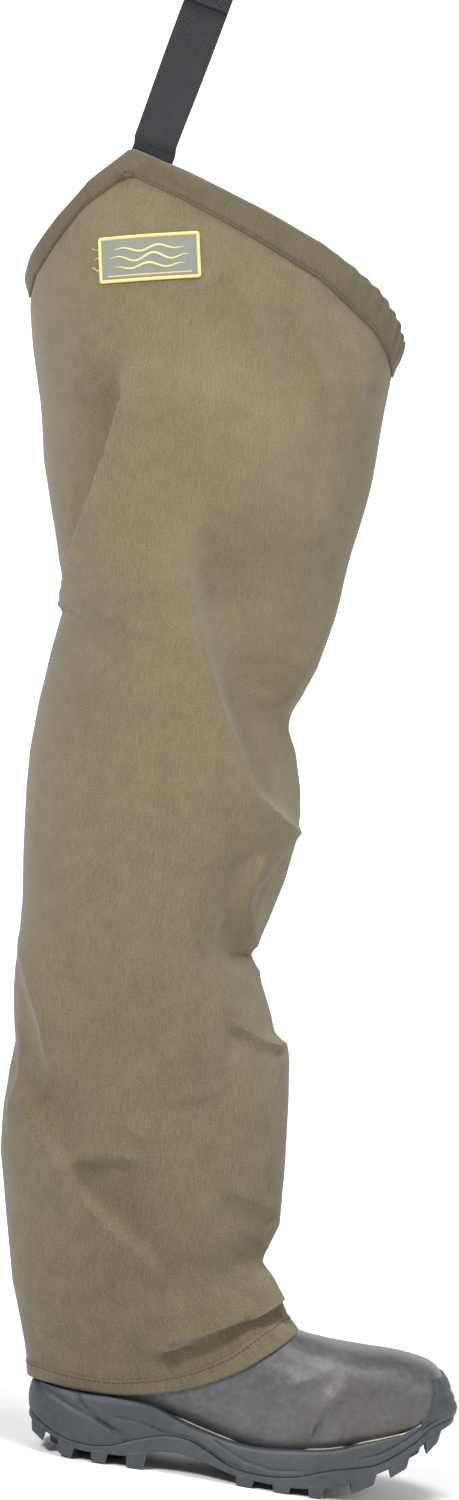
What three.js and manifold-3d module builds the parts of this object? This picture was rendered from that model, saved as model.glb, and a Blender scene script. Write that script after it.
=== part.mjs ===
// Boot-foot hip wader: a lugged rubber boot whose fabric leg rises to the hip, where a webbing
// strap with a side-release buckle hangs it from the wearer's belt.
// Millimetres, +Z up, toe towards +X, the outer side of the right leg towards -Y.
import * as THREE from "three";
import Module from "manifold-3d";
import { mergeVertices } from "three/addons/utils/BufferGeometryUtils.js";

const wasm = await Module();
wasm.setup();

// ---- Driving dimensions -------------------------------------------------------------------
const GAP = 0.35; // clearance between pieces that touch
const FAR = 400; // longer than anything a cutting block has to pass through

const SOLE_LENGTH = 302;
const PEAK_HEIGHT = 908; // height of the rim's highest point

const UPPER_WALL = 3; // rubber of the boot's upper
const STIFFENER_WALL = 1.2; // toe puff and heel counter, between upper and lining
const LINING_WALL = 3.5; // neoprene bootie
const FOOTBED_THICKNESS = 5;
const SHAFT_TOP = 230; // height of the boot shaft, inside the fabric leg
const COLLAR_DEPTH = 14; // how far the shaft's binding reaches down
const COLLAR_WALL = 1.2;
const TOE_BUMPER_START = 279; // from the heel, on the drawing that the outlines are given for
const TOE_BUMPER_TOP = 89;

const LEG_WALL = 1.6; // two-ply fabric
const HEM_WALL = 1.2; // each layer of a folded hem
const TOP_HEM_DEPTH = 20;
const BOTTOM_HEM_DEPTH = 10;
const INNER_SIDE_DROP = 52; // how much lower the rim sits on the inner side of the thigh
const SEAM_TAPE_WIDTH = 22;
const SEAM_TAPE_WALL = 0.8;
const SEAM_TAPE_START = 250;
const SEAM_TAPE_CLEARANCE = 8; // below the top hem

const SHANK_LENGTH = 92;
const SHANK_START = 58;
const SHANK_WIDTH = 18;
const SHANK_THICKNESS = 2;
const EDGE_LUG_REACH = 24; // how far an edge lug reaches in from the sole's edge
const LUG_TAPER = 1.5;
const MIDDLE_LUG_HALF = 11;

const PATCH_WIDTH = 71;
const PATCH_HEIGHT = 33;
const PATCH_FROM_HEEL = -25; // on the drawing that the outlines are given for
const PATCH_BELOW_RIM = 66.8; // from the rim down to the label's middle
const PATCH_TILT = 0.184; // radians
const PATCH_WALL = 1;
const PATCH_BORDER = 3;
const PATCH_BORDER_WALL = 1.7;

const STRAP_WIDTH = 32;
const WEBBING = 1.6; // thickness of the webbing
const SEWN_LENGTH = 42; // strap sewn down inside the peak
const STRAP_FROM_HEEL = -33; // where along the rim the strap rises
const FOLD_ABOVE_RIM = 7; // height over the rim at which the strap folds
const STRAP_LENGTH = 132; // from the fold to the buckle's bar
const STRAP_LEAN = 0.218; // radians from upright, towards the toe
const STRAP_RETURN = 30; // end turned back over the buckle's bar and sewn down

const BAR = 4; // thickness of the bars that the webbing wraps
const SLOT = WEBBING + 1.8; // slots beside the bars
const SOCKET_RAIL = 4.65; // side rails beside the webbing
const SOCKET_LENGTH = 34;
const SOCKET_THICKNESS = 10;
const SOCKET_SIDE_WALL = 3;
const SOCKET_FACE_WALL = 2;
const WINDOW_BOTTOM = 12;
const WINDOW_TOP = 27;
const PLUG_RAIL = 3.15;
const PLUG_THICKNESS = 9;
const PLUG_BODY = 12; // length of the plug's solid part above the socket
const PRONG_INSET = 5; // from the throat's side wall to a prong's pivot
const PRONG_PIVOT_HEIGHT = 40;
const PRONG_ROOT_RADIUS = 2;
const PRONG_TURN_PER_MM = 0.0065; // radians of squeeze for each millimetre of withdrawal
const GUIDE_HALF = 2;

const LOOP_HEIGHT = 104; // belt loop above the plug's bar
const LOOP_NECK = [8, 46]; // heights between which the two layers are sewn together
const LOOP_HALF_GAP = 9; // half of the belt opening
const KEEPER_HEIGHT = 10;
const KEEPER_WALL = 2;
const KEEPER_CENTRE = 27; // above the plug's bar

// ---- Small geometry tools -----------------------------------------------------------------
const clamp01 = (x) => Math.min(1, Math.max(0, x));
const smooth = (x) => clamp01(x) ** 2 * (3 - 2 * clamp01(x));
const mix = (a, b, t) => a + (b - a) * t;
const signedPower = (x, power) => Math.sign(x) * Math.abs(x) ** power;
const sampled = (from, to, steps, make) =>
  Array.from({ length: steps + 1 }, (_, i) => make(mix(from, to, i / steps)));

// A smooth curve through rows [x, y1, y2, ...] of rising x, with averaged slopes.
function curveThrough(rows) {
  const slopes = rows.map((row, i) => {
    const a = rows[Math.max(0, i - 1)];
    const b = rows[Math.min(rows.length - 1, i + 1)];
    return row.map((_, c) => (b[c] - a[c]) / (b[0] - a[0]));
  });
  return (x, column = 1) => {
    let i = 0;
    while (i < rows.length - 2 && x > rows[i + 1][0]) i++;
    const width = rows[i + 1][0] - rows[i][0];
    const t = clamp01((x - rows[i][0]) / width);
    const [t2, t3] = [t * t, t * t * t];
    const values = (2 * t3 - 3 * t2 + 1) * rows[i][column] + (3 * t2 - 2 * t3) * rows[i + 1][column];
    const turns = (t3 - 2 * t2 + t) * slopes[i][column] + (t3 - t2) * slopes[i + 1][column];
    return values + turns * width;
  };
}

// A closed solid from rings of equal length, capped at both ends.
function ringSolid(rings) {
  const size = rings[0].length;
  const points = rings.flat();
  const faces = [];
  for (let r = 0; r < rings.length - 1; r++)
    for (let i = 0; i < size; i++) {
      const [a, b] = [r * size + i, r * size + ((i + 1) % size)];
      faces.push(a, b, b + size, a, b + size, a + size);
    }
  for (const base of [0, (rings.length - 1) * size]) {
    const centre = new THREE.Vector3();
    for (let i = 0; i < size; i++) centre.addScaledVector(points[base + i], 1 / size);
    points.push(centre);
    for (let i = 0; i < size; i++) {
      const [a, b] = [base + i, base + ((i + 1) % size)];
      if (base === 0) faces.push(b, a, points.length - 1);
      else faces.push(a, b, points.length - 1);
    }
  }
  const position = new Float32Array(points.flatMap((p) => [p.x, p.y, p.z]));
  const geometry = new THREE.BufferGeometry();
  geometry.setAttribute("position", new THREE.BufferAttribute(position, 3)).setIndex(faces);
  return solid(geometry);
}

// A closed geometry as a manifold solid, turned the right way out.
function solid(geometry) {
  const bare = geometry.clone();
  bare.deleteAttribute("normal");
  bare.deleteAttribute("uv");
  const merged = mergeVertices(bare, 1e-4);
  const vertProperties = merged.attributes.position.array;
  const triVerts = new Uint32Array(merged.index.array);
  const made = new wasm.Manifold(new wasm.Mesh({ numProp: 3, vertProperties, triVerts }));
  if (made.volume() > 0) return made;
  for (let i = 0; i < triVerts.length; i += 3)
    [triVerts[i], triVerts[i + 1]] = [triVerts[i + 1], triVerts[i]];
  return new wasm.Manifold(new wasm.Mesh({ numProp: 3, vertProperties, triVerts }));
}

function geometryOf(made) {
  const mesh = made.getMesh();
  const position = new Float32Array(mesh.numVert * 3);
  for (let i = 0; i < mesh.numVert; i++)
    position.set(mesh.vertProperties.subarray(i * mesh.numProp, i * mesh.numProp + 3), i * 3);
  const geometry = new THREE.BufferGeometry();
  geometry.setAttribute("position", new THREE.BufferAttribute(position, 3));
  geometry.setIndex(new THREE.BufferAttribute(mesh.triVerts, 1));
  geometry.computeVertexNormals();
  return geometry;
}

function block([x0, x1], [y0, y1], [z0, z1]) {
  const box = new THREE.BoxGeometry(x1 - x0, y1 - y0, z1 - z0);
  return solid(box.translate((x0 + x1) / 2, (y0 + y1) / 2, (z0 + z1) / 2));
}
const EVERYWHERE = [-4 * FAR, 4 * FAR];
const below = (z) => block(EVERYWHERE, EVERYWHERE, [-FAR, z]);

// An outline [[a, b], ...] extruded: "plan" stands on XY, "side" on XZ, each between two levels.
function extruded(outline, [from, to], plane, hole) {
  const path = (points) => points.map(([a, b]) => new THREE.Vector2(a, b));
  const shape = new THREE.Shape(path(outline));
  if (hole) shape.holes.push(new THREE.Path(path(hole)));
  const geometry = new THREE.ExtrudeGeometry(shape, { depth: to - from, bevelEnabled: false });
  if (plane === "plan") geometry.translate(0, 0, from);
  else geometry.rotateX(Math.PI / 2).translate(0, to, 0);
  return solid(geometry);
}

// The space between two height curves z(x), right across y.
const sideProfile = (low, high, [x0, x1], steps) =>
  extruded(
    [...sampled(x0, x1, steps, (x) => [x, low(x)]), ...sampled(x1, x0, steps, (x) => [x, high(x)])],
    [-FAR, FAR], "side",
  );

// The space below a height field z(x, y).
function belowField(height, [x0, x1], [y0, y1], columns, rows) {
  const rings = sampled(x0, x1, columns, (x) => {
    const top = sampled(y0, y1, rows, (y) => new THREE.Vector3(x, y, height(x, y)));
    return [...top, new THREE.Vector3(x, y1, -FAR), new THREE.Vector3(x, y0, -FAR)];
  });
  return ringSolid(rings);
}

// Outlines below are drawn for a 302 long sole and a 908 high peak, and stretched from there:
// lengths along the foot evenly, heights only above the boot's shaft.
const DRAWN_SOLE = 302;
const DRAWN_PEAK = 908;
const STRETCH_FROM = 262;
const alongFoot = (x) => (x * SOLE_LENGTH) / DRAWN_SOLE;
const upLeg = (z) =>
  z + (Math.max(0, z - STRETCH_FROM) * (PEAK_HEIGHT - DRAWN_PEAK)) / (DRAWN_PEAK - STRETCH_FROM);
const sectionsThrough = (rows) =>
  curveThrough(rows.map(([k, fx, fz, bx, bz, ...rest]) =>
    [k, alongFoot(fx), upLeg(fz), alongFoot(bx), upLeg(bz), ...rest]));
const heightsThrough = (rows) => curveThrough(rows.map(([x, z]) => [alongFoot(x), upLeg(z)]));

// ---- Forms made of sections between a front line and a back line ---------------------------
// Each row: [station, front x, front z, back x, back z, half width, sideways shift]

// Point on a section at angle a: 0 on the front line, half a turn on the back line.
// boxiness 0 gives an ellipse; at 1 the back half is nearly square.
function sectionPoint(section, k, a, inset, boxiness) {
  const [fx, fz, bx, bz, half, shift] = [1, 2, 3, 4, 5, 6].map((c) => section(k, c));
  const reach = Math.hypot(fx - bx, fz - bz) / 2;
  const [ux, uz] = [(fx - bx) / 2 / reach, (fz - bz) / 2 / reach];
  const [c, s] = [Math.cos(a), Math.sin(a)];
  const along = signedPower(c, mix(1, c < 0 ? 0.5 : 0.85, boxiness)) * (reach - inset);
  const across = signedPower(s, mix(1, c < 0 ? 0.5 : 0.8, boxiness)) * (half - inset);
  return new THREE.Vector3((fx + bx) / 2 + ux * along, across + shift, (fz + bz) / 2 + uz * along);
}

const bootSection = sectionsThrough([
  [0, 291, 74, 291, 66, 9, 3],
  [1, 286, 86, 286, 60, 24, 3],
  [2, 276, 93, 276, 51, 36, 2],
  [3, 255, 97.5, 255, 40, 44.5, 0.5],
  [4, 228, 100, 226, 30.5, 49, -1.5],
  [5, 202, 103, 195, 23, 48.5, -3],
  [6, 180, 107, 162, 20.5, 43, -3.5],
  [7, 162, 117, 128, 29, 38, -3],
  [8, 146, 133, 92, 36.5, 36.5, -1.5],
  [9, 134, 153, 45, 37, 37.5, -1],
  [10, 128, 174, 12, 42, 39, 0],
  [11, 125, 194, 3.5, 68, 41, 0],
  [12, 124, 210, 6, 115, 43.5, 0],
  [13, 123, 222, 11, 170, 45.5, 0],
  [14, 122.5, 232, 14, 220, 47, 0],
  [15, 122, 246, 16, 246, 48, 0],
]);
const BOOT_STATIONS = 15;
const BOOT_STEPS = 20;
const BOOT_SIDES = 26;
const MIN_TIP = 4; // smallest half size of the section that closes the toe

const bootBoxiness = (k) => 1 - smooth((k - 7.5) / 4.5); // boxy in the foot, oval in the shaft
function bootPoint(k, a, inset) {
  const point = sectionPoint(bootSection, k, a, inset, bootBoxiness(k));
  point.x -= inset * clamp01(1 - k); // the toe's tip moves in too
  return point;
}

function bootRoom(k) {
  const [fx, fz, bx, bz, half] = [1, 2, 3, 4, 5].map((c) => bootSection(k, c));
  return Math.min(Math.hypot(fx - bx, fz - bz) / 2, half);
}

// The boot as a closed solid, inset all round, or swollen when inset is negative.
function bootForm(inset) {
  let start = 0;
  while (bootRoom(start) - inset < MIN_TIP) start += 0.05;
  const ring = (k) => sampled(0, 2 * Math.PI, BOOT_SIDES, (a) => bootPoint(k, a, inset)).slice(0, -1);
  const shared = sampled(0, BOOT_STATIONS, BOOT_STEPS, (k) => k).filter((k) => k > start + 0.2);
  return ringSolid([start, ...shared].map(ring));
}

const legSection = sectionsThrough([
  [0, 188, 99, 5, 34, 31, -2],
  [1, 174, 117, -3, 55, 40, -2],
  [2, 159, 139, -13, 84, 47, -1],
  [3, 148, 152, -21, 108, 51, 0],
  [4, 157, 171, -31, 145, 55, 0],
  [5, 157, 200, -42, 190, 59, 0],
  [6, 154, 235, -45, 232, 62, 0],
  [7, 151, 268, -46, 262, 64, 0],
  [8, 146, 298, -46, 290, 66, 0],
  [9, 131, 324, -51, 322, 68, 0],
  [10, 113, 366, -52, 352, 70, 0],
  [11, 121, 391, -54, 385, 72, 0],
  [12, 130, 430, -59, 430, 75, 0],
  [13, 133, 466, -62, 480, 77, 0],
  [14, 126, 505, -61, 515, 78, 0],
  [15, 122, 535, -58, 550, 80, 0],
  [16, 132, 573, -53, 590, 81, 0],
  [17, 138, 615, -65, 622, 82, 0],
  [18, 143, 660, -75, 662, 82, 0],
  [19, 148, 712, -86, 712, 82, 0],
  [20, 151, 768, -100, 768, 81, 0],
  [21, 154, 806, -108, 812, 80, 0],
  [22, 153, 860, -110, 860, 79, 0],
  [23, 152, 925, -110, 925, 78, 0],
]);
const LEG_STATIONS = 23;
const LEG_STEPS = 26;
const LEG_SIDES = 24;

function legForm(inset) {
  const ring = (k) =>
    sampled(0, 2 * Math.PI, LEG_SIDES, (a) => sectionPoint(legSection, k, a, inset, 0)).slice(0, -1);
  return ringSolid(sampled(0, LEG_STATIONS, LEG_STEPS, ring));
}

// ---- Sole lines ------------------------------------------------------------------------------
// Plan of the right sole, outer side first (negative y), heel at x = 0
const solePlan = new THREE.CatmullRomCurve3(
  [
    [0, 0], [6, -21], [28, -36], [62, -41], [100, -42], [140, -48], [180, -55], [214, -57],
    [246, -51], [274, -37], [294, -19], [302, 4], [296, 24], [276, 41], [246, 50], [212, 51],
    [180, 47], [140, 41], [100, 39], [62, 39], [28, 34], [6, 20],
  ].map(([x, y]) => new THREE.Vector3(alongFoot(x), y, 0)),
  true, "centripetal",
);
const PLAN_STEPS = 60;

// The sole's outline, moved in by inset.
function soleOutline(inset) {
  const at = (u) => {
    const [p, t] = [solePlan.getPointAt(u % 1), solePlan.getTangentAt(u % 1)];
    return [p.x - t.y * inset, p.y + t.x * inset];
  };
  return sampled(0, 1, PLAN_STEPS, at).slice(0, -1);
}

// The outline's y at x, on one side (-1 outer, 1 inner).
function soleEdge(x, side) {
  const near = soleOutline(0).filter(([px]) => Math.abs(px - x) < 12);
  return side * Math.max(...near.map(([, y]) => side * y));
}

// Heights along the sole
const weltTop = heightsThrough([
  [-5, 48], [36, 46], [62, 46.5], [87, 44.5], [105, 38], [122, 33], [143, 28.5], [164, 27.5],
  [188, 30], [215, 34], [238, 41.5], [258, 48], [274, 56], [285, 63], [303, 70],
]);
const treadLine = heightsThrough([
  [-5, 29], [14, 19], [28, 14], [46, 12], [62, 14], [78, 20], [94, 26], [106, 28.5], [118, 27],
  [132, 20], [145, 13], [160, 10.5], [176, 10.5], [195, 13.5], [214, 20], [232, 24], [248, 28],
  [263, 37], [275, 46], [285, 56], [303, 62],
]);
const treadUnderside = heightsThrough([
  [-5, 23], [14, 15], [38, 7.5], [66, 8.5], [86, 11.5], [100, 20], [117, 20.5], [135, 14.5],
  [150, 8], [170, 5], [196, 5], [224, 10], [247, 20], [264, 29], [276, 39], [290, 51], [303, 57],
]);
const lugCurve = heightsThrough([
  [-5, 15], [8, 11], [22, 4], [36, 0], [46, 0], [90, 0], [150, 0], [160, 0], [214, 0], [224, 1.5],
  [240, 9.5], [262, 21], [280, 34], [294, 48], [303, 54],
]);
const lugFoot = (x) => Math.max(0, lugCurve(x)); // heel and ball lugs stand flat on the ground
// Lugs: [centre, length], heel to toe
const lugRow = (rows) => rows.map(([x, length]) => [alongFoot(x), length]);
const EDGE_LUGS = lugRow([
  [10, 12], [31, 13], [55, 13], [81, 15], [158, 14], [184, 14], [208, 12], [240, 18], [264, 14], [286, 11],
]);
const MIDDLE_LUGS = lugRow([
  [24, 13], [44, 13], [66, 13], [171, 14], [197, 14], [225, 15], [252, 14], [274, 12],
]);

// ---- Boot pieces -------------------------------------------------------------------------
const STIFFENER_INSET = UPPER_WALL + GAP;
const LINING_INSET = STIFFENER_INSET + STIFFENER_WALL + GAP;
const FOOT_INSET = LINING_INSET + LINING_WALL;
const shellOf = (form, outer, inner) => form(outer).subtract(form(inner));

const bootUpper = () => shellOf(bootForm, 0, UPPER_WALL).intersect(below(SHAFT_TOP));
const bootLining = () => shellOf(bootForm, LINING_INSET, FOOT_INSET).intersect(below(SHAFT_TOP));

const stiffener = (xs, zs) =>
  shellOf(bootForm, STIFFENER_INSET, STIFFENER_INSET + STIFFENER_WALL)
    .intersect(block(xs, EVERYWHERE, zs));
const toePuff = () => stiffener([alongFoot(246), FAR], [56, FAR]);
const heelCounter = () => stiffener([-FAR, alongFoot(50)], [58, 112]);

function shaftCollar() {
  const top = SHAFT_TOP + GAP;
  const wrapped = shellOf(bootForm, -GAP, FOOT_INSET + GAP).intersect(below(top));
  return shellOf(bootForm, -GAP - COLLAR_WALL, FOOT_INSET + GAP + COLLAR_WALL)
    .intersect(block(EVERYWHERE, EVERYWHERE, [SHAFT_TOP - COLLAR_DEPTH, top + COLLAR_WALL]))
    .subtract(wrapped);
}

const shankBlock = (clear) =>
  sideProfile(
    (x) => treadLine(x) + GAP - clear,
    (x) => treadLine(x) + GAP + SHANK_THICKNESS + clear,
    [SHANK_START - clear, SHANK_START + SHANK_LENGTH + clear], 14,
  ).intersect(block(EVERYWHERE, [-SHANK_WIDTH / 2 - clear, SHANK_WIDTH / 2 + clear], EVERYWHERE));
const shank = () => shankBlock(0);

const SOLE_SPAN = [-5, SOLE_LENGTH + 1];
const soleSlab = (inset) => extruded(soleOutline(inset), [-1, FAR], "plan");

function midsole() {
  return soleSlab(0)
    .intersect(sideProfile(treadLine, weltTop, SOLE_SPAN, 40))
    .subtract(bootForm(-GAP))
    .subtract(shankBlock(GAP));
}

// Rubber cap that climbs the toe above the sidewall
function toeBumper() {
  const start = alongFoot(TOE_BUMPER_START);
  const top = (x) => mix(weltTop(x) + 3, TOE_BUMPER_TOP, smooth((x - start) / 4));
  const roof = TOE_BUMPER_TOP + 1;
  const front = [[200, 0], [302, 0], [302, 67], [296, 79], [290.5, roof], [200, roof]];
  return soleSlab(0)
    .intersect(sideProfile((x) => weltTop(x) + GAP, top, [start, SOLE_LENGTH + 1], 16))
    .intersect(extruded(front.map(([x, z]) => [alongFoot(x), z]), [-FAR, FAR], "side"))
    .subtract(bootForm(-GAP));
}

function footbed() {
  const bottomStation = (x) => {
    let k = 1;
    while (bootSection(k, 3) > x && k < 10) k += 0.02;
    return k;
  };
  const floor = (x) => bootSection(bottomStation(x), 4) + FOOT_INSET + GAP;
  const top = (x) => floor(x) + FOOTBED_THICKNESS;
  const slab = sideProfile((x) => floor(x) - 2, top, [16, alongFoot(274)], 24);
  return bootForm(FOOT_INSET + GAP).intersect(slab);
}

function lugWedge([centre, length], ys) {
  const [x0, x1] = [centre - length / 2, centre + length / 2];
  const [foot0, foot1] = [x0 + LUG_TAPER, x1 - LUG_TAPER];
  const outline = [
    [foot0, lugFoot(foot0)], [foot1, lugFoot(foot1)],
    [x1, treadUnderside(x1) + 2], [x0, treadUnderside(x0) + 2],
  ];
  return extruded(outline, ys, "side");
}

function outsole() {
  let tread = sideProfile(treadUnderside, (x) => treadLine(x) - GAP, SOLE_SPAN, 40);
  for (const lug of EDGE_LUGS) {
    tread = tread.add(lugWedge(lug, [-FAR, soleEdge(lug[0], -1) + EDGE_LUG_REACH]));
    tread = tread.add(lugWedge(lug, [soleEdge(lug[0], 1) - EDGE_LUG_REACH, FAR]));
  }
  for (const lug of MIDDLE_LUGS) tread = tread.add(lugWedge(lug, [-MIDDLE_LUG_HALF, MIDDLE_LUG_HALF]));
  return tread.intersect(soleSlab(1));
}

// ---- Leg pieces --------------------------------------------------------------------------
const rimLine = heightsThrough([
  [-125, 780], [-112, 806], [-109, 818], [-104, 836], [-92, 857], [-74, 884], [-47, 908],
  [-24, 902], [-10, 897], [53, 875], [92, 861], [114, 849], [134, 836], [148, 822], [156, 802], [165, 780],
]);
const rimHeight = (x, y) => rimLine(x) - INNER_SIDE_DROP * smooth(y / 70);
const belowRim = (rise) =>
  belowField((x, y) => rimHeight(x, y) + rise, [-124, 164].map(alongFoot), [-110, 110], 22, 4);

const hemLine = heightsThrough([
  [-30, 49.5], [2, 49], [35, 48], [62, 49], [86, 53.5], [102, 58], [122, 66], [145, 79],
  [163, 93], [176, 103], [190, 112], [230, 130],
]);
const aboveHem = (rise) =>
  sideProfile((x) => hemLine(x) + rise, () => 2 * PEAK_HEIGHT, [-130, 230].map(alongFoot), 36);

// Everything inside the leg's surface: it hugs the boot at the bottom and blooms out above.
const legSkin = (offset) => legForm(-offset).add(bootForm(-offset).intersect(below(SHAFT_TOP - 60)));
const legLayer = (inner, outer) => legSkin(outer).subtract(legSkin(inner));

const legOuter = GAP + LEG_WALL; // the leg's layers, counted outwards from the boot's surface
const legShell = () => legLayer(GAP, legOuter).intersect(aboveHem(0)).intersect(belowRim(0));

// A folded band that wraps the fabric's upper edge inside and out.
function topHem() {
  const rise = GAP + HEM_WALL;
  return legLayer(-HEM_WALL, legOuter + rise)
    .intersect(belowRim(rise))
    .subtract(belowRim(-TOP_HEM_DEPTH))
    .subtract(legLayer(0, legOuter + GAP).intersect(belowRim(GAP)));
}

const bottomHem = () =>
  legLayer(legOuter + GAP, legOuter + GAP + HEM_WALL)
    .subtract(legSkin(legOuter + GAP / 2))
    .intersect(aboveHem(0))
    .subtract(aboveHem(BOTTOM_HEM_DEPTH));

function inseamTape() {
  const middle = alongFoot(55);
  const xs = [middle - SEAM_TAPE_WIDTH / 2, middle + SEAM_TAPE_WIDTH / 2];
  const top = rimHeight(xs[1], FAR) - TOP_HEM_DEPTH - SEAM_TAPE_CLEARANCE;
  return legLayer(-SEAM_TAPE_WALL, 0).intersect(block(xs, [0, FAR], [SEAM_TAPE_START, top]));
}

// A rectangle on the outer side of the leg, tilted like the label.
function patchBlock(grow) {
  const [w, h] = [PATCH_WIDTH / 2 + grow, PATCH_HEIGHT / 2 + grow];
  const [c, s] = [Math.cos(PATCH_TILT), Math.sin(PATCH_TILT)];
  const x = alongFoot(PATCH_FROM_HEEL);
  const z = rimLine(x) - PATCH_BELOW_RIM;
  const corner = ([a, b]) => [x + a * c - b * s, z + a * s + b * c];
  return extruded([[-w, -h], [w, -h], [w, h], [-w, h]].map(corner), [-FAR, 0], "side");
}
const patchBase = legOuter + GAP;
const labelPatch = () =>
  legLayer(patchBase, patchBase + PATCH_WALL).intersect(patchBlock(-PATCH_BORDER - GAP));
const labelBorder = () =>
  legLayer(patchBase, patchBase + PATCH_BORDER_WALL)
    .intersect(patchBlock(0))
    .subtract(patchBlock(-PATCH_BORDER));

// ---- Strap, in its own frame: origin at the fold, +Z up the strap, X across it ---------------
const strapX = alongFoot(STRAP_FROM_HEEL);
const foldZ = rimLine(strapX) + FOLD_ABOVE_RIM;

// Where the leg's surface, moved in by inset, passes the strap: its y, and its slope as an angle.
function surfaceAtStrap(inset) {
  const k = LEG_STATIONS - 1;
  const [fx, bx, half] = [legSection(k, 1), legSection(k, 3), legSection(k, 5) - inset];
  const reach = (fx - bx) / 2 - inset;
  const c = (strapX - (fx + bx) / 2) / reach;
  const s = Math.sqrt(1 - c * c);
  return { y: -half * s, slope: Math.atan((-half * c) / (reach * s)) };
}
const SEWN_INSET = HEM_WALL + GAP;
const { y: strapY, slope: strapTwist } = surfaceAtStrap(SEWN_INSET + WEBBING / 2);
const strapFrame = new THREE.Matrix4().makeRotationY(STRAP_LEAN).setPosition(strapX, strapY, foldZ);
const inStrapFrame = (made) => solid(geometryOf(made).applyMatrix4(strapFrame));

// Webbing swept along [y, z] points, its width turned by twist(z).
function webbing(path, twist) {
  const points = path.map(([y, z]) => new THREE.Vector3(0, y, z));
  const curve = new THREE.CatmullRomCurve3(points, false, "centripetal");
  const ring = (u) => {
    const [p, t] = [curve.getPoint(u), curve.getTangent(u)];
    const turn = twist(p.z);
    const corners = [[1, 1], [-1, 1], [-1, -1], [1, -1]];
    return corners.map(([a, b]) => {
      const across = (a * STRAP_WIDTH) / 2;
      const out = (b * WEBBING) / 2;
      const flat = new THREE.Vector3(across, p.y - out * t.z, p.z + out * t.y);
      return flat.applyAxisAngle(new THREE.Vector3(0, 0, 1), -turn);
    });
  };
  return ringSolid(sampled(0, 1, 3 * (path.length - 1), ring));
}

const wrapRadius = BAR / 2 + GAP + WEBBING / 2;
function strapRiser() {
  const turned = sampled(0, Math.PI, 6, (a) =>
    [wrapRadius * Math.cos(a), STRAP_LENGTH + wrapRadius * Math.sin(a)]);
  const start = STRAP_LENGTH - STRAP_RETURN;
  const back = -(WEBBING + GAP);
  const path = [
    [0, 0], [0, 30], [0, 60], [0, start], [0, start + 8], [0.3, STRAP_LENGTH - 14],
    [wrapRadius - 0.1, STRAP_LENGTH - 3], ...turned, [-wrapRadius + 0.1, STRAP_LENGTH - 3],
    [back - 0.1, STRAP_LENGTH - 14], [back, start + 8], [back, start + 1],
  ];
  const foldEdge = new THREE.CylinderGeometry(WEBBING / 2, WEBBING / 2, STRAP_WIDTH, 12)
    .rotateZ(Math.PI / 2 - strapTwist);
  return webbing(path, (z) => strapTwist * (1 - smooth(z / (start - 10)))).add(solid(foldEdge));
}

// Strap end sewn to the inside of the peak, following the fabric
function strapSewnEnd() {
  const outline = solid(
    new THREE.BoxGeometry(STRAP_WIDTH, FAR, SEWN_LENGTH)
      .translate(0, 0, -SEWN_LENGTH / 2 - WEBBING / 2 - GAP)
      .applyMatrix4(strapFrame),
  );
  const outerHalf = block(EVERYWHERE, [-FAR, 0], EVERYWHERE);
  return legLayer(-SEWN_INSET - WEBBING, -SEWN_INSET).intersect(outline).intersect(outerHalf);
}

// ---- Buckle, in the strap's frame with the socket's bar at height 0 ---------------------------
const atBuckle = (made) => inStrapFrame(made.translate([0, 0, STRAP_LENGTH]));
const upright = (outline, depthHalf) => extruded(outline, [-depthHalf, depthHalf], "side");
const rectangle = ([x0, x1], [z0, z1]) => [[x0, z0], [x1, z0], [x1, z1], [x0, z1]];
const webbingHalf = STRAP_WIDTH / 2 + GAP;
const socketHalf = webbingHalf + SOCKET_RAIL;
const throatHalf = socketHalf - SOCKET_SIDE_WALL;
const throatDepthHalf = SOCKET_THICKNESS / 2 - SOCKET_FACE_WALL;
const prongThicknessHalf = throatDepthHalf - GAP;
const plugHalf = webbingHalf + PLUG_RAIL;
const prongPivot = [throatHalf - PRONG_INSET, PRONG_PIVOT_HEIGHT];
const PLUG_BASE = SOCKET_LENGTH + 2 * GAP;
const PLUG_SLOT = PLUG_BASE + PLUG_BODY;
const PLUG_BAR = PLUG_SLOT + SLOT + BAR / 2;

const barRod = (half, z) =>
  solid(new THREE.CylinderGeometry(BAR / 2, BAR / 2, 2 * half, 16).rotateZ(Math.PI / 2).translate(0, 0, z));

function buckleSocket() {
  const half = socketHalf;
  const bodyStart = BAR / 2 + SLOT;
  const body = upright(
    [[-half, bodyStart], [half, bodyStart], [half, SOCKET_LENGTH - 3], [half - 3, SOCKET_LENGTH],
      [-half + 3, SOCKET_LENGTH], [-half, SOCKET_LENGTH - 3]],
    SOCKET_THICKNESS / 2,
  );
  let made = body.add(barRod(half, 0));
  for (const side of [-1, 1]) {
    const xs = side < 0 ? [-half, -webbingHalf] : [webbingHalf, half];
    made = made.add(upright(rectangle(xs, [-BAR / 2, bodyStart + 1]), BAR / 2));
    const window = side < 0 ? [-half - 1, -throatHalf + 1] : [throatHalf - 1, half + 1];
    made = made.subtract(upright(rectangle(window, [WINDOW_BOTTOM, WINDOW_TOP]), SOCKET_THICKNESS));
  }
  const throat = rectangle([-throatHalf, throatHalf], [bodyStart + 3, SOCKET_LENGTH + 1]);
  return made.subtract(upright(throat, throatDepthHalf));
}

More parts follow.
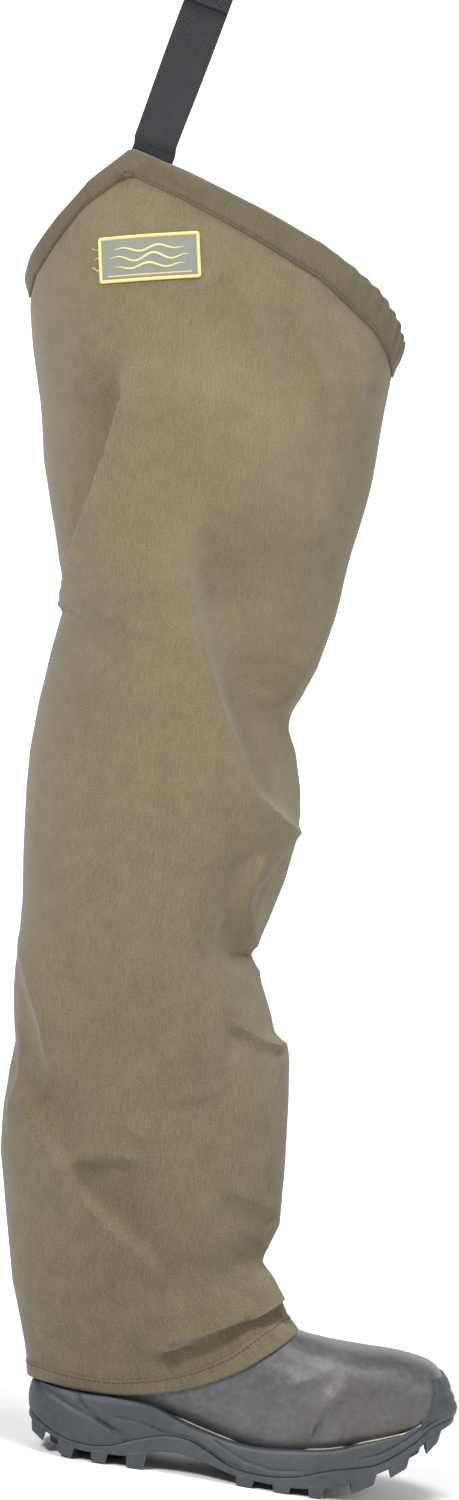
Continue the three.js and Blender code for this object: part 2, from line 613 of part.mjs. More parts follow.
function bucklePlug() {
  const [px, pz] = prongPivot;
  let made = upright(rectangle([-plugHalf, plugHalf], [PLUG_BASE, PLUG_SLOT]), PLUG_THICKNESS / 2);
  made = made.add(barRod(plugHalf, PLUG_BAR));
  made = made.add(upright(rectangle([-GUIDE_HALF, GUIDE_HALF], [10, PLUG_BASE + 1]), prongThicknessHalf));
  for (const side of [-1, 1]) {
    const xs = side < 0 ? [-plugHalf, -webbingHalf] : [webbingHalf, plugHalf];
    made = made.add(upright(rectangle(xs, [PLUG_SLOT - 1, PLUG_BAR + BAR / 2]), BAR / 2));
    const [low, high] = [PLUG_BASE - 1, pz + 2.5];
    const recess = [[px - 4, low], [px + 2.9, low], [px + 2.9, high], [px - 2.9, high]];
    made = made.subtract(upright(recess.map(([x, z]) => [side * x, z]), throatDepthHalf));
  }
  return made;
}

// One springy prong: its head swells outwards into the socket's window by just as much as
// the coupled squeeze takes it back in while the plug is withdrawn.
function prong(side) {
  const [px, pz] = prongPivot;
  const swell = (z) => {
    const s = WINDOW_TOP - z;
    return throatHalf - 2 * GAP + PRONG_TURN_PER_MM * s * (pz - WINDOW_TOP + s);
  };
  const outer = sampled(WINDOW_TOP, WINDOW_BOTTOM + 1.6, 7, (z) => [swell(z), z]);
  const root = sampled(-0.2, Math.PI + 0.2, 8, (a) =>
    [px + PRONG_ROOT_RADIUS * Math.cos(a), pz + PRONG_ROOT_RADIUS * Math.sin(a)]);
  const outline = [
    ...root, [px - 2, pz - 10], [px - 2, 18], [px - 3.5, 12], [px - 2.5, 9.5], [px + 1, 9.5],
    [throatHalf - 1, WINDOW_BOTTOM - 0.6], ...outer.reverse(), [px + 2, WINDOW_TOP + 2.5],
  ];
  const made = upright(outline.map(([x, z]) => [side * x, z]), prongThicknessHalf);
  return made;
}

// ---- Belt loop and keeper, above the plug's bar ------------------------------------------
function loopOutline(offset) {
  const neck = (WEBBING + GAP) / 2;
  const wide = LOOP_HALF_GAP + WEBBING / 2;
  const centre = LOOP_HEIGHT - wide;
  const half = [
    ...sampled(-Math.PI / 2, 0.5, 5, (a) => [wrapRadius * Math.cos(a), wrapRadius * Math.sin(a)]),
    ...sampled(...LOOP_NECK, 3, (z) => [neck, z]),
    [wide - 1, LOOP_NECK[1] + 17], [wide, centre - 14],
    ...sampled(0, Math.PI / 2, 4, (a) => [wide * Math.cos(a), centre + wide * Math.sin(a)]),
  ];
  const mirrored = half.slice(1, -1).reverse().map(([y, z]) => [-y, z]);
  const points = [...half, ...mirrored].map(([y, z]) => new THREE.Vector3(y, z, 0));
  const curve = new THREE.CatmullRomCurve3(points, true, "centripetal");
  return sampled(0, 1, 56, (u) => {
    const [p, t] = [curve.getPoint(u % 1), curve.getTangent(u % 1)];
    return [p.x + t.y * offset, p.y - t.x * offset];
  }).slice(0, -1);
}

// An outline in the strap's YZ plane, swept across x.
function acrossStrap(outline, half, hole) {
  const made = extruded(outline, [-half, half], "plan", hole);
  const turned = new THREE.Matrix4().set(0, 0, 1, 0, 1, 0, 0, 0, 0, 1, 0, 0, 0, 0, 0, 1);
  return solid(geometryOf(made).applyMatrix4(turned));
}
const atPlugBar = (made) => atBuckle(made.translate([0, 0, PLUG_BAR]));
const beltLoop = () =>
  atPlugBar(acrossStrap(loopOutline(WEBBING / 2), STRAP_WIDTH / 2, loopOutline(-WEBBING / 2)));

function keeper() {
  const [x, y] = [webbingHalf, WEBBING + GAP / 2 + GAP];
  const zs = [KEEPER_CENTRE - KEEPER_HEIGHT / 2, KEEPER_CENTRE + KEEPER_HEIGHT / 2];
  const [xo, yo] = [x + KEEPER_WALL, y + KEEPER_WALL];
  return atPlugBar(block([-xo, xo], [-yo, yo], zs).subtract(block([-x, x], [-y, y], EVERYWHERE)));
}

// ---- Assembly ------------------------------------------------------------------------------
const COLOURS = {
  fabric: 0x857c61, darkFabric: 0x776f57, rubber: 0x64625f, sole: 0x4b5057, lining: 0x2c2e30,
  webbing: 0x2d2f34, plastic: 0x1c1d1f, patch: 0x969a96, border: 0xe8dd84, steel: 0xa9adb2,
};
const PIECES = [
  ["outsole", outsole, "sole"],
  ["midsole", midsole, "sole"],
  ["toe_bumper", toeBumper, "sole"],
  ["steel_shank", shank, "steel"],
  ["boot_upper", bootUpper, "rubber"],
  ["toe_puff", toePuff, "lining"],
  ["heel_counter", heelCounter, "lining"],
  ["boot_lining", bootLining, "lining"],
  ["footbed", footbed, "lining"],
  ["shaft_collar", shaftCollar, "rubber"],
  ["leg_shell", legShell, "fabric"],
  ["bottom_hem", bottomHem, "darkFabric"],
  ["top_hem", topHem, "darkFabric"],
  ["inseam_tape", inseamTape, "lining"],
  ["label_patch", labelPatch, "patch"],
  ["label_border", labelBorder, "border"],
  ["strap_sewn_end", strapSewnEnd, "webbing"],
  ["strap_riser", () => inStrapFrame(strapRiser()), "webbing"],
  ["buckle_socket", () => atBuckle(buckleSocket()), "plastic"],
  ["buckle_plug", () => atBuckle(bucklePlug()), "plastic"],
  ["prong_front", () => atBuckle(prong(1)), "plastic"],
  ["prong_rear", () => atBuckle(prong(-1)), "plastic"],
  ["belt_loop", beltLoop, "webbing"],
  ["keeper", keeper, "plastic"],
];

const wader = new THREE.Group();
wader.name = "hip_wader";
for (const [name, make, colour] of PIECES) {
  const material = new THREE.MeshStandardMaterial({ color: COLOURS[colour], roughness: 0.8 });
  const mesh = new THREE.Mesh(geometryOf(make()), material);
  mesh.name = name;
  wader.add(mesh);
}

// Origin at the middle of the footprint, on the ground
const bounds = new THREE.Box3().setFromObject(wader);
const middle = bounds.getCenter(new THREE.Vector3());
for (const mesh of wader.children) mesh.geometry.translate(-middle.x, -middle.y, -bounds.min.z);

export default wader;
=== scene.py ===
import math

import bmesh
import bpy
import numpy as np
from mathutils import Matrix


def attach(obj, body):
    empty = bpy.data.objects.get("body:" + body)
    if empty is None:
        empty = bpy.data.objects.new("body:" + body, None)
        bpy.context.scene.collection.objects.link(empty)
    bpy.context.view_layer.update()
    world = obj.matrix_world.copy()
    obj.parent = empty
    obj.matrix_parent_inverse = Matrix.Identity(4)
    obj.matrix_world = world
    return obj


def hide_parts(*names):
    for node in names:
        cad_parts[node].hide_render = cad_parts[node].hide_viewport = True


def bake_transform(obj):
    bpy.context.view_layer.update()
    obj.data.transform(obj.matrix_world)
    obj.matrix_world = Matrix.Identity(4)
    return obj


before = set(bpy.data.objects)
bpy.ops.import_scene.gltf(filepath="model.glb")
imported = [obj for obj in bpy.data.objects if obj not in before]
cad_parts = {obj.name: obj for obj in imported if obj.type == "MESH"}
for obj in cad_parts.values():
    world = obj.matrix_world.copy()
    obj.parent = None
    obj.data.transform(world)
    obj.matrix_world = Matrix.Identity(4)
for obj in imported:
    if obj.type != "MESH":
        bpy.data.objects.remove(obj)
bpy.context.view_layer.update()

# Everything is drawn in millimetres from the back of the heel: x to the toe, y to the inner
# side, z up. The frame's origin lies under the middle of the wader.
HEEL_X = -95.451
MM = 0.001

# ---- Numbers along curves ---------------------------------------------------------------------


def smooth(x):
    """0 below 0, 1 above 1, and 3x^2 - 2x^3 between."""
    x = np.clip(x, 0.0, 1.0)
    return x * x * (3 - 2 * x)


def mix(a, b, t):
    return a + (b - a) * t


def signed_power(x, power):
    return np.sign(x) * np.abs(x) ** power


def curve_through(rows):
    """A smooth curve through rows [x, y1, y2, ...]: cubic Hermite spans whose slope at each row
    is that of the line between its neighbours. Returns values(x), one column per y."""
    table = np.array(rows, float)
    x, y = table[:, 0], table[:, 1:]
    last = len(x) - 1
    before = np.maximum(np.arange(last + 1) - 1, 0)
    after = np.minimum(np.arange(last + 1) + 1, last)
    slope = (y[after] - y[before]) / (x[after] - x[before])[:, None]

    def values(at):
        at = np.asarray(at, float)
        i = np.clip(np.searchsorted(x, at, side="right") - 1, 0, last - 1)
        width = (x[i + 1] - x[i])[..., None]
        t = np.clip((at - x[i])[..., None] / width, 0, 1)
        t2, t3 = t * t, t * t * t
        held = (2 * t3 - 3 * t2 + 1) * y[i] + (3 * t2 - 2 * t3) * y[i + 1]
        turned = (t3 - 2 * t2 + t) * slope[i] + (t3 - t2) * slope[i + 1]
        return held + turned * width

    return values


def height_curve(rows):
    values = curve_through(rows)
    return lambda x: values(x)[..., 0]


def polyline(rows):
    """Straight spans through rows [x, y]."""
    x, y = np.array(rows, float).T
    return lambda at: np.interp(at, x, y)


def through_points(points, closed, per_span):
    """Centripetal Catmull-Rom curve: each span is a cubic through its ends, with tangents set by
    the square roots of the distances between its four points."""
    p = np.array(points, float)
    if closed:
        p = np.concatenate([p[-1:], p, p[:2]])
    else:
        p = np.concatenate([2 * p[:1] - p[1:2], p, 2 * p[-1:] - p[-2:-1]])
    gap = np.maximum(np.linalg.norm(np.diff(p, axis=0), axis=1) ** 0.5, 1e-6)[:, None]
    p0, p1, p2, p3 = p[:-3], p[1:-2], p[2:-1], p[3:]
    g0, g1, g2 = gap[:-2], gap[1:-1], gap[2:]
    m1 = ((p1 - p0) / g0 - (p2 - p0) / (g0 + g1) + (p2 - p1) / g1) * g1
    m2 = ((p2 - p1) / g1 - (p3 - p1) / (g1 + g2) + (p3 - p2) / g2) * g1
    t = (np.arange(per_span) / per_span)[:, None, None]
    t2, t3 = t * t, t * t * t
    curve = ((2 * t3 - 3 * t2 + 1) * p1 + (t3 - 2 * t2 + t) * m1
             + (3 * t2 - 2 * t3) * p2 + (t3 - t2) * m2)
    curve = curve.transpose(1, 0, 2).reshape(-1, p.shape[1])
    return curve if closed else np.concatenate([curve, p[-2:-1]])


def along(points):
    """Distance travelled at each point of a path."""
    steps = np.linalg.norm(np.diff(points, axis=0), axis=1)
    return np.concatenate([[0], np.cumsum(steps)])


def resampled(points, count):
    """The same path with evenly spaced points."""
    travelled = along(points)
    at = np.linspace(0, travelled[-1], count)
    return np.stack([np.interp(at, travelled, column) for column in points.T], axis=1)


def unit(vectors):
    length = np.linalg.norm(vectors, axis=-1, keepdims=True)
    return vectors / np.maximum(length, 1e-9)


# ---- Meshes from grids ------------------------------------------------------------------------


def grid_faces(rows, columns, around=False, ends=False):
    """Quads of a grid of points; around joins the last column to the first, and ends joins the
    last row to the first."""
    i = np.arange(rows if ends else rows - 1)[:, None]
    j = np.arange(columns if around else columns - 1)[None, :]
    i2, j2 = (i + 1) % rows, (j + 1) % columns
    corners = [i * columns + j, i * columns + j2, i2 * columns + j2, i2 * columns + j]
    return np.stack(np.broadcast_arrays(*corners), axis=-1).reshape(-1, 4)


def mesh_piece(name, points, faces, uv=None, sharp=None):
    """A Blender object from points in millimetres and rows of point numbers. Its mesh is merged,
    so seams and poles close, and its faces are turned to point outwards."""
    flat = points.reshape(-1, 3) * MM
    flat = flat + np.array([HEEL_X * MM, 0, 0])
    mesh = bpy.data.meshes.new(name)
    mesh.from_pydata(flat.tolist(), [], [list(face) for face in faces.tolist()])
    if uv is not None:
        layer = mesh.uv_layers.new(name="cloth")
        corner = np.zeros(len(mesh.loops), dtype=np.int32)
        mesh.loops.foreach_get("vertex_index", corner)
        layer.data.foreach_set("uv", uv.reshape(-1, 2)[corner].astype(np.float32).ravel())
    piece = bpy.data.objects.new(name, mesh)
    bpy.context.scene.collection.objects.link(piece)
    clean(piece)
    shade(piece, sharp)
    return piece


def clean(piece, tolerance=2e-6):
    """Merges doubled points, drops faces of no area and turns the rest outwards."""
    soft = bmesh.new()
    soft.from_mesh(piece.data)
    bmesh.ops.remove_doubles(soft, verts=soft.verts, dist=tolerance)
    bmesh.ops.dissolve_degenerate(soft, edges=soft.edges, dist=tolerance)
    bmesh.ops.recalc_face_normals(soft, faces=soft.faces)
    soft.to_mesh(piece.data)
    soft.free()


def shade(piece, sharp):
    """Smooth shading, broken where faces meet at more than sharp degrees."""
    mesh = piece.data
    mesh.polygons.foreach_set("use_smooth", np.ones(len(mesh.polygons), dtype=bool))
    if sharp is not None:
        mesh.set_sharp_from_angle(angle=math.radians(sharp))
    mesh.update()


def bake_modifiers(piece):
    """Applies the piece's modifiers to its mesh."""
    graph = bpy.context.evaluated_depsgraph_get()
    done = bpy.data.meshes.new_from_object(piece.evaluated_get(graph))
    piece.modifiers.clear()
    old, piece.data = piece.data, done
    done.name = piece.name
    bpy.data.meshes.remove(old)


def thicken(piece, thickness):
    """Gives a surface a wall that grows inwards."""
    wall = piece.modifiers.new("wall", "SOLIDIFY")
    wall.thickness = thickness * MM
    wall.offset = -1
    wall.use_even_offset = False
    bake_modifiers(piece)
    shade(piece, 50)


def bevel(piece, width, segments=2):
    edge = piece.modifiers.new("edges", "BEVEL")
    edge.width = width * MM
    edge.segments = segments
    edge.limit_method = "ANGLE"
    edge.angle_limit = math.radians(35)
    edge.use_clamp_overlap = True
    bake_modifiers(piece)
    shade(piece, 40)


def place(piece, body, slot, finish, *nodes):
    """Gives a finished piece its body, its material and the CAD nodes it stands for; slot is not used.
    """
    piece.data.materials.clear()
    piece.data.materials.append(finish)
    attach(piece, body)
    if nodes:
        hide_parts(*nodes)
    return piece


def joined(name, pieces):
    """Several meshes as one object."""
    whole = bmesh.new()
    for piece in pieces:
        whole.from_mesh(piece.data)
        bpy.data.objects.remove(piece)
    mesh = bpy.data.meshes.new(name)
    whole.to_mesh(mesh)
    whole.free()
    made = bpy.data.objects.new(name, mesh)
    bpy.context.scene.collection.objects.link(made)
    return made


def tube_points(path, radius, sides, flat, up):
    """Rings round a path: each is an ellipse across the path's direction, flattened along up."""
    path = np.asarray(path, float)
    forward = unit(np.gradient(path, axis=0))
    up = np.broadcast_to(np.asarray(up, float), path.shape)
    side = unit(np.cross(forward, up))
    top = unit(np.cross(side, forward))
    turn = np.linspace(0, 2 * math.pi, sides, endpoint=False)[None, :, None]
    radius = np.broadcast_to(np.asarray(radius, float), (len(path),))[:, None, None]
    ring = side[:, None] * np.cos(turn) + top[:, None] * np.sin(turn) * flat
    return path[:, None] + ring * radius


def tube(name, path, radius, sides=8, flat=1.0, up=(0, -1, 0)):
    """A tube whose two ends are closed to their middles."""
    points = tube_points(path, radius, sides, flat, up)
    points = np.concatenate([np.repeat(path[:1, None], sides, 1), points,
                             np.repeat(path[-1:, None], sides, 1)])
    return mesh_piece(name, points, grid_faces(len(points), sides, around=True))


STITCH_SIDES = 6
STITCH_RINGS = np.array([-0.5, -0.38, 0.0, 0.38, 0.5])  # shares of a stitch's length
STITCH_FATNESS = np.array([0.0, 0.8, 1.0, 0.8, 0.0])  # share of its radius at each ring
STITCH_BELLY = 0.6  # how far its middle is raised, as a share of its radius


def many_stitches(name, middles, forward, up, length, radius):
    """Short rounded threads: each is a 6-sided spindle, fattest in the middle, laid along
    forward with its belly raised along up."""
    turn = np.linspace(0, 2 * math.pi, STITCH_SIDES, endpoint=False)
    fat = STITCH_FATNESS * radius
    forward, up = unit(forward), unit(up)
    side = np.cross(forward, up)
    core = middles[:, None] + forward[:, None] * (STITCH_RINGS * length)[None, :, None]
    core = core + up[:, None] * (fat * STITCH_BELLY)[None, :, None]
    ring = side[:, None, None] * np.cos(turn)[None, None, :, None]
    ring = ring + up[:, None, None] * np.sin(turn)[None, None, :, None]
    points = core[:, :, None] + ring * fat[None, :, None, None]
    one = grid_faces(len(STITCH_RINGS), STITCH_SIDES, around=True)
    starts = (np.arange(len(middles)) * len(STITCH_RINGS) * STITCH_SIDES)[:, None, None]
    return mesh_piece(name, points, (one[None] + starts).reshape(-1, 4))


# ---- Forms made of sections between a front line and a back line ------------------------------
# Rows: [station, front x, front z, back x, back z, half width, sideways shift]

boot_section = curve_through([
    [0, 292, 76, 292, 66, 9, 3], [1, 288, 88.5, 288, 60, 24, 3], [2, 278, 96.5, 278, 51, 36, 2],
    [3, 256, 100.5, 256, 40, 44.5, 0.5], [4, 228, 101.5, 226, 30.5, 49, -1.5],
    [5, 202, 103, 195, 23, 48.5, -3], [6, 180, 107, 162, 20.5, 43, -3.5],
    [7, 162, 117, 128, 29, 38, -3], [8, 146, 133, 92, 36.5, 36.5, -1.5],
    [9, 134, 153, 45, 37, 37.5, -1], [10, 128, 174, 12, 42, 39, 0], [11, 125, 194, 3.5, 68, 41, 0],
    [12, 124, 210, 6, 115, 43.5, 0], [13, 123, 222, 11, 170, 45.5, 0],
    [14, 122.5, 232, 14, 220, 47, 0], [15, 122, 246, 16, 246, 48, 0],
])
leg_section = curve_through([
    [-1, 198, 76, 14, 14, 27, -2], [0, 188, 99, 5, 34, 31, -2], [1, 174, 117, -3, 55, 40, -2],
    [2, 159, 139, -13, 84, 47, -1],
    [3, 148, 152, -21, 108, 51, 0], [4, 157, 171, -31, 145, 55, 0], [5, 157, 200, -42, 190, 59, 0],
    [6, 154, 235, -45, 232, 62, 0], [7, 151, 268, -46, 262, 64, 0], [8, 146, 298, -46, 290, 66, 0],
    [9, 131, 324, -51, 322, 68, 0], [10, 113, 366, -52, 352, 70, 0],
    [11, 121, 391, -54, 385, 72, 0], [12, 130, 430, -59, 430, 75, 0],
    [13, 133, 466, -62, 480, 77, 0], [14, 126, 505, -61, 515, 78, 0],
    [15, 122, 535, -58, 550, 80, 0], [16, 132, 573, -53, 590, 81, 0],
    [17, 138, 615, -65, 622, 82, 0], [18, 143, 660, -75, 662, 82, 0],
    [19, 148, 712, -86, 712, 82, 0], [20, 151, 768, -100, 768, 81, 0],
    [21, 154, 806, -108, 812, 80, 0], [22, 153, 860, -110, 860, 79, 0],
    [23, 152, 925, -110, 925, 78, 0],
])
LEG_STATIONS = np.linspace(-1, 23, 481)
LEG_HEIGHTS = leg_section(LEG_STATIONS)[:, [1, 3]].mean(axis=1)

# Where the cloth's outline really runs, front and back: [z, x]
front_outline = polyline([
    [90, 196], [107, 181], [112, 176], [139, 161], [147, 153], [151, 149.5], [156, 150.5],
    [163, 154], [178, 159], [210, 157.5], [266, 153], [295, 149.5], [303, 147.5], [307, 145.5],
    [310, 140], [314, 136.5], [325, 133], [345, 123.5], [357, 118], [366, 113], [372, 114.5],
    [391, 121.5], [421, 129], [454, 133.5], [468, 135], [486, 132.5], [505, 127], [528, 122.5],
    [538, 123], [550, 126.5], [572, 133], [609, 138.5], [638, 141], [711, 149], [768, 152.5],
    [800, 154], [860, 154], [930, 152],
])
back_outline = polyline([
    [30, 3], [47, -2], [72, -9], [99, -18], [113, -23], [168, -36], [203, -44], [239, -46.5],
    [260, -47], [282, -45.5], [300, -49], [317, -52], [334, -53.5], [353, -52.5], [381, -54],
    [416, -58], [459, -62], [487, -63], [523, -61.5], [560, -58], [582, -55], [590, -53.5],
    [597, -55.5], [623, -66], [658, -75], [692, -82.5], [734, -92], [769, -101], [800, -108],
    [860, -112], [930, -112],
])

rim_line = polyline([
    [-125, 780], [-112, 799], [-110, 814], [-106, 832], [-92, 857], [-74, 884], [-50, 907],
    [-46, 908], [-35, 904.5], [-24, 901], [-10, 897], [53, 875], [92, 861], [114, 849],
    [134, 836], [148, 821], [156, 805], [165, 788],
])
INNER_SIDE_DROP = 52
hem_line = height_curve([
    [-30, 49.5], [2, 49], [35, 48], [62, 49], [86, 53.5], [102, 58], [122, 66], [145, 79],
    [163, 93], [176, 103], [190, 112], [230, 130],
])


def rim_height(x, y):
    """The rim falls away by INNER_SIDE_DROP towards the inner side of the thigh."""
    return rim_line(x) - INNER_SIDE_DROP * smooth(y / 70)


def boot_boxiness(station):
    return 1 - smooth((station - 7.5) / 4.5)


def lengthwise_power(c, box):
    """Below 1 squares a section: more so in its lower half, where c is below 0."""
    return mix(1, np.where(c < 0, 0.5, 0.85), box)


def across_power(c, box):
    return mix(1, np.where(c < 0, 0.5, 0.8), box)


def section_frame(rows):
    """Centre, unit direction and half length of the line from each section's back to its front."""
    fx, fz, bx, bz, half, shift = np.moveaxis(rows, -1, 0)
    reach = np.hypot(fx - bx, fz - bz) / 2
    centre_x, centre_z = (fx + bx) / 2, (fz + bz) / 2
    along_x, along_z = (fx - bx) / 2 / reach, (fz - bz) / 2 / reach
    return centre_x, centre_z, along_x, along_z, reach, half, shift


def boot_point(station, angle, offset=0.0):
    """Superellipse: cos and sin raised to powers that square the sole side of the foot and
    become 1 in the shaft; offset swells it."""
    cx, cz, ux, uz, reach, half, shift = section_frame(boot_section(station))
    box = boot_boxiness(station)
    c, s = np.cos(angle), np.sin(angle)
    lengthwise = signed_power(c, lengthwise_power(c, box)) * (reach + offset)
    across = signed_power(s, across_power(c, box)) * (half + offset)
    return np.stack([cx + ux * lengthwise, across + shift, cz + uz * lengthwise], axis=-1)


def boot_half_width(x, z):
    """Half width of the boot at a point of its side view. The section line through the point is
    found by halving, and the superellipse is solved for the width there."""
    low, high = np.full(x.shape, 3.0), np.full(x.shape, 15.0)
    for _ in range(22):
        middle = (low + high) / 2
        cx, cz, ux, uz = section_frame(boot_section(middle))[:4]
        beyond = (x - cx) * uz - (z - cz) * ux
        low = np.where(beyond > 0, low, middle)
        high = np.where(beyond > 0, middle, high)
    cx, cz, ux, uz, reach, half, shift = section_frame(boot_section(low))
    share = np.clip(((x - cx) * ux + (z - cz) * uz) / reach, -1, 1)
    box = boot_boxiness(low)
    c = np.abs(share) ** (1 / lengthwise_power(share, box))
    s = np.sqrt(np.maximum(0, 1 - c * c))
    return half * s ** across_power(share, box), shift


# ---- Folds of the leg -------------------------------------------------------------------------
# Each fold runs along a line of the side view. Its crest stands proud of the cloth; on its left
# (seen along the line) it falls away over one width, and on its right over another, into a
# valley that slowly fills.


def fold(points, height, left, right, valley=0.0, valley_width=1.0, left_valley=0.0,
         left_valley_width=1.0, start=0.25, end=0.25, sharp=1.3):
    return dict(points=np.array(points, float), height=height, left=left, right=right,
                valley=valley, valley_width=valley_width, left_valley=left_valley,
                left_valley_width=left_valley_width, start=start, end=end, sharp=sharp)


FOLD_DEPTH = 1.9
NEAR_FOLDS = [
    # long pleat from the thigh down to the back notch: broad panel in front, recess behind
    fold([[-33, 768], [-29, 736], [-34, 702], [-39, 668], [-45, 636], [-50, 606], [-54, 588]],
         5.0, 40, 4.2, valley=7.5, valley_width=12, start=0.22, end=0.02, sharp=1.15),
    # main fold from mid thigh to the front outline: broad panel behind, deep recess in front
    fold([[17, 668], [28, 630], [40, 595], [51, 567], [65, 536], [80, 508], [98, 480], [116, 466],
          [136, 454]], 4.0, 9.0, 42, left_valley=10.5, left_valley_width=26, start=0.3, end=0.02,
         sharp=1.15),
    # crease of the flap under the peak
    fold([[-76, 872], [-60, 887], [-34, 897], [-16, 894], [1, 886], [24, 877]], 0.9, 5, 1.6,
         valley=0.7, valley_width=2.5, start=0.2, end=0.2, sharp=1.4),
    # facet above the knee notch
    fold([[113, 446], [106, 430], [101, 414], [102, 398], [108, 382], [116, 366]],
         3.2, 11, 3.5, valley=3.6, valley_width=8, start=0.3, end=0.02, sharp=1.2),
    fold([[117, 424], [112, 404], [110, 384]], 0.9, 3, 3, start=0.3, end=0.3),
    # ridge that hangs beside the front outline
    fold([[150, 756], [147, 700], [144, 655], [138, 615], [131, 590], [125, 565], [120, 542]],
         2.6, 14, 5, valley=2.0, valley_width=9, start=0.3, end=0.05, sharp=1.3),
    # pleats under the top hem
    fold([[36, 842], [47, 812], [60, 782], [74, 748]], 1.8, 9, 12, valley=1.6, valley_width=22,
         start=0.35, end=0.6, sharp=1.7),
    fold([[76, 832], [92, 798], [110, 762], [122, 724]], 2.0, 8, 12, valley=1.8, valley_width=18,
         start=0.3, end=0.6, sharp=1.6),
    fold([[112, 815], [124, 784], [134, 750], [138, 712]], 1.6, 6, 9, valley=1.2, valley_width=14,
         start=0.3, end=0.6, sharp=1.6),
    fold([[-60, 800], [-66, 760], [-66, 716], [-64, 680]], 1.8, 12, 14, valley=1.6,
         valley_width=22, start=0.4, end=0.5, sharp=1.8),
    fold([[-2, 790], [6, 750], [10, 712]], 1.4, 16, 18, start=0.5, end=0.5, sharp=2),
    # tuck at the front of the knee
    fold([[96, 322], [112, 315], [128, 309], [146, 306]], 1.6, 6, 5, valley=3.4, valley_width=6,
         start=0.5, end=0.02, sharp=1.3),
    fold([[62, 255], [80, 262], [96, 267], [110, 273]], 0.8, 5, 4, valley=1.2, valley_width=4,
         start=0.4, end=0.4),
    fold([[28, 243], [44, 236], [66, 228]], 0.8, 5, 4, valley=1.3, valley_width=5, start=0.4,
         end=0.4),
    # sharp ridge from the calf down across the ankle, with the hollow above it
    fold([[-34, 262], [-23, 238], [-11, 220], [0, 205], [24, 180], [51, 159], [76, 142], [92, 132]],
         4.6, 3.6, 26, left_valley=3.6, left_valley_width=10, start=0.12, end=0.35, sharp=1.15),
    fold([[0, 206], [22, 213], [56, 217], [84, 214]], 0.8, 12, 8, valley=4.6, valley_width=13,
         start=0.1, end=0.5, sharp=1.6),
    # calf
    fold([[-55, 362], [-46, 342], [-37, 321], [-26, 300], [-17, 272], [-14, 244]],
         2.2, 10, 6, valley=1.6, valley_width=9, start=0.12, end=0.45, sharp=1.4),
    fold([[-48, 300], [-41, 284], [-37, 264], [-38, 240], [-37, 208]], 1.6, 4, 6, valley=1.5,
         valley_width=7, start=0.1, end=0.3),
    fold([[130, 290], [135, 264], [142, 240], [149, 214], [153, 198]], 1.8, 8, 6, start=0.3,
         end=0.3, sharp=1.6),
    fold([[116, 206], [130, 198], [146, 192], [158, 187]], 0.6, 6, 6, valley=2.6, valley_width=8,
         start=0.4, end=0.05, sharp=1.5),
    fold([[152, 164], [148, 157], [145, 150], [141, 141]], 1.4, 4, 3, valley=1.8, valley_width=5,
         start=0.05, end=0.4),
    # pouch over the instep, and the soft shade above the hem
    fold([[76, 78], [84, 84], [101, 94], [124, 107], [147, 118], [168, 129]], 6.0, 20, 4.0,
         valley=7.0, valley_width=15, start=0.18, end=0.04, sharp=1.25),
    fold([[-22, 142], [-12, 122], [2, 104], [20, 88]], 1.2, 12, 12, start=0.4, end=0.5, sharp=1.8),
]
FAR_FOLDS = [
    fold([[-70, 700], [-62, 660], [-56, 620], [-53, 590]], 3.0, 26, 6, valley=5, valley_width=14,
         end=0.02),
    fold([[30, 680], [48, 626], [70, 570], [94, 524], [122, 500]], 3.6, 10, 40, left_valley=7,
         left_valley_width=26, start=0.3, end=0.1),
    fold([[60, 770], [78, 720], [88, 670]], 2.2, 18, 14, valley=2, valley_width=24, start=0.5,
         end=0.5, sharp=1.8),
    fold([[-40, 770], [-28, 720], [-24, 660]], 2.0, 20, 16, valley=2, valley_width=24, start=0.5,
         end=0.5, sharp=1.8),
    fold([[124, 352], [96, 362], [62, 380], [36, 404]], 2.2, 12, 6, valley=3, valley_width=12,
         start=0.05, end=0.5),
    fold([[146, 304], [116, 296], [84, 292], [50, 300]], 1.8, 6, 8, valley=3, valley_width=9,
         start=0.05, end=0.5),
    fold([[-50, 352], [-26, 330], [4, 318], [30, 322]], 2.0, 8, 6, valley=2.4, valley_width=10,
         start=0.05, end=0.5),
    fold([[-40, 250], [-12, 216], [24, 184], [60, 160], [92, 146]], 2.6, 6, 22, left_valley=2,
         left_valley_width=10, start=0.1, end=0.4),
    fold([[150, 158], [124, 150], [96, 146], [70, 152]], 1.8, 5, 8, valley=2.6, valley_width=8,
         start=0.05, end=0.5),
    fold([[80, 84], [104, 98], [130, 112], [164, 128]], 2.0, 14, 5, valley=3.6, valley_width=10,
         start=0.2, end=0.05),
]


